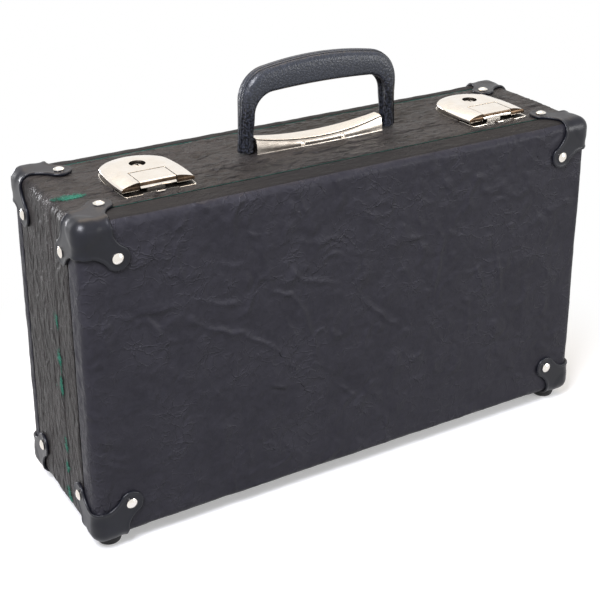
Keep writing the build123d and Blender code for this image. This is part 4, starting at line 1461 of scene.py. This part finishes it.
# Floor: matt and pale, fading to white away from the case. It is pale to the eye and in
# reflections and throws little light back up, as a photographer's table does
floor_finish, floor_tree, floor_shader, floor_place = new_finish("pale_floor", Roughness=0.9)
distance = add(floor_tree, "ShaderNodeVectorMath", {0: floor_place}, operation="LENGTH")
fade = add(floor_tree, "ShaderNodeMapRange", {"Value": distance.outputs["Value"], "From Min": 0.22,
                                              "From Max": 0.43}, interpolation_type="SMOOTHSTEP")
paths, seen = seen_rays(floor_tree)
pale = add(floor_tree, "ShaderNodeMath", {0: paths["Is Camera Ray"], 1: 0.55, 2: 0.2},
           operation="MULTIPLY_ADD")
pale = add(floor_tree, "ShaderNodeMath", {0: paths["Is Glossy Ray"], 1: 0.3, 2: pale.outputs[0]},
           operation="MULTIPLY_ADD")
floor_tree.links.new(pale.outputs[0], floor_shader.inputs["Base Color"])
lift = add(floor_tree, "ShaderNodeMath", {0: seen, 1: 0.3}, operation="MULTIPLY")
floor_shader.inputs["Emission Color"].default_value = (1, 1, 1, 1)
floor_tree.links.new(lift.outputs[0], floor_shader.inputs["Emission Strength"])
blank = add(floor_tree, "ShaderNodeMath", {0: seen, 1: fade.outputs[0]}, operation="MULTIPLY")
white = add(floor_tree, "ShaderNodeEmission", {"Color": (1, 1, 1, 1), "Strength": 1.0})
mixed = add(floor_tree, "ShaderNodeMixShader", {0: blank.outputs[0], 1: floor_shader.outputs[0],
                                                2: white.outputs[0]})
floor_tree.links.new(mixed.outputs[0], floor_tree.nodes["Material Output"].inputs["Surface"])
floor_mesh = bpy.data.meshes.new("floor")
floor_mesh.from_pydata([(-4, -4, -0.0005), (4, -4, -0.0005), (4, 4, -0.0005), (-4, 4, -0.0005)], [],
                       [(0, 1, 2, 3)])
floor_mesh.materials.append(floor_finish)
floor = loose_object("floor", floor_mesh)

# White backdrop to the eye and in reflections; a third of that as light from all round
world = bpy.data.worlds.new("studio")
bpy.context.scene.world = world
world.use_nodes = True
world_tree = world.node_tree
_, seen = seen_rays(world_tree)
level = add(world_tree, "ShaderNodeMapRange", {"Value": seen, "To Min": 0.3, "To Max": 1.0})
sky = world_tree.nodes["Background"]
sky.inputs["Color"].default_value = (1, 1, 1, 1)
world_tree.links.new(level.outputs[0], sky.inputs["Strength"])


def add_lamp(name, size, energy, location, target, colour="#ffffff"):
    """A rectangular softbox, its size and place in metres, aimed at the target."""
    data = bpy.data.lights.new(name, "AREA")
    data.shape = "RECTANGLE"
    data.size, data.size_y = size
    data.energy = energy
    data.color = linear(colour)[:3]
    lamp = bpy.data.objects.new(name, data)
    bpy.context.scene.collection.objects.link(lamp)
    lamp.location = location
    lamp.rotation_euler = (Vector(target) - Vector(location)).to_track_quat("-Z", "Y").to_euler()


# a warm one overhead, the main one raking across the face from the upper left, and weak ones
# that fill the right of the face and the back
add_lamp("overhead_softbox", (1.4, 0.9), 10.5, (0.3, 0.8, 1.5), (0, 0, 0.1), "#ffe6c6")
add_lamp("side_softbox", (0.6, 0.6), 34, (-0.8, -0.55, 1.3), (0, 0, 0.15), "#f5f6ff")
add_lamp("right_softbox", (0.5, 0.5), 6.5, (0.85, -0.95, 0.5), (0.1, 0, 0.15))
add_lamp("back_softbox", (0.5, 0.4), 13, (-0.4, 1.7, 0.16), (0, 0, 0.15), "#fbfbff")

# Camera where the photograph was taken from, its frame shifted down as the photograph's is
azimuth, elevation, roll = -0.5311, 0.3677, -0.0009
focal_pixels = 1272.591
picture_pixels = 600
eye = Vector((-533.2, -882.8, 647.6)) * MM
back = Vector((math.sin(azimuth) * math.cos(elevation), -math.cos(azimuth) * math.cos(elevation),
               math.sin(elevation)))
right = Vector((math.cos(azimuth), math.sin(azimuth), 0))
upward = back.cross(right)
right, upward = (right * math.cos(roll) + upward * math.sin(roll),
                 upward * math.cos(roll) - right * math.sin(roll))
camera_data = bpy.data.cameras.new("camera")
camera_data.sensor_width = 36
camera_data.lens = focal_pixels / picture_pixels * camera_data.sensor_width
camera_data.shift_y = -0.2
camera_data.clip_start = 0.01
camera = bpy.data.objects.new("camera", camera_data)
bpy.context.scene.collection.objects.link(camera)
camera.matrix_world = Matrix.Translation(eye) @ Matrix((right, upward, back)).transposed().to_4x4()
bpy.context.scene.camera = camera
bpy.context.scene.view_settings.view_transform = "Standard"
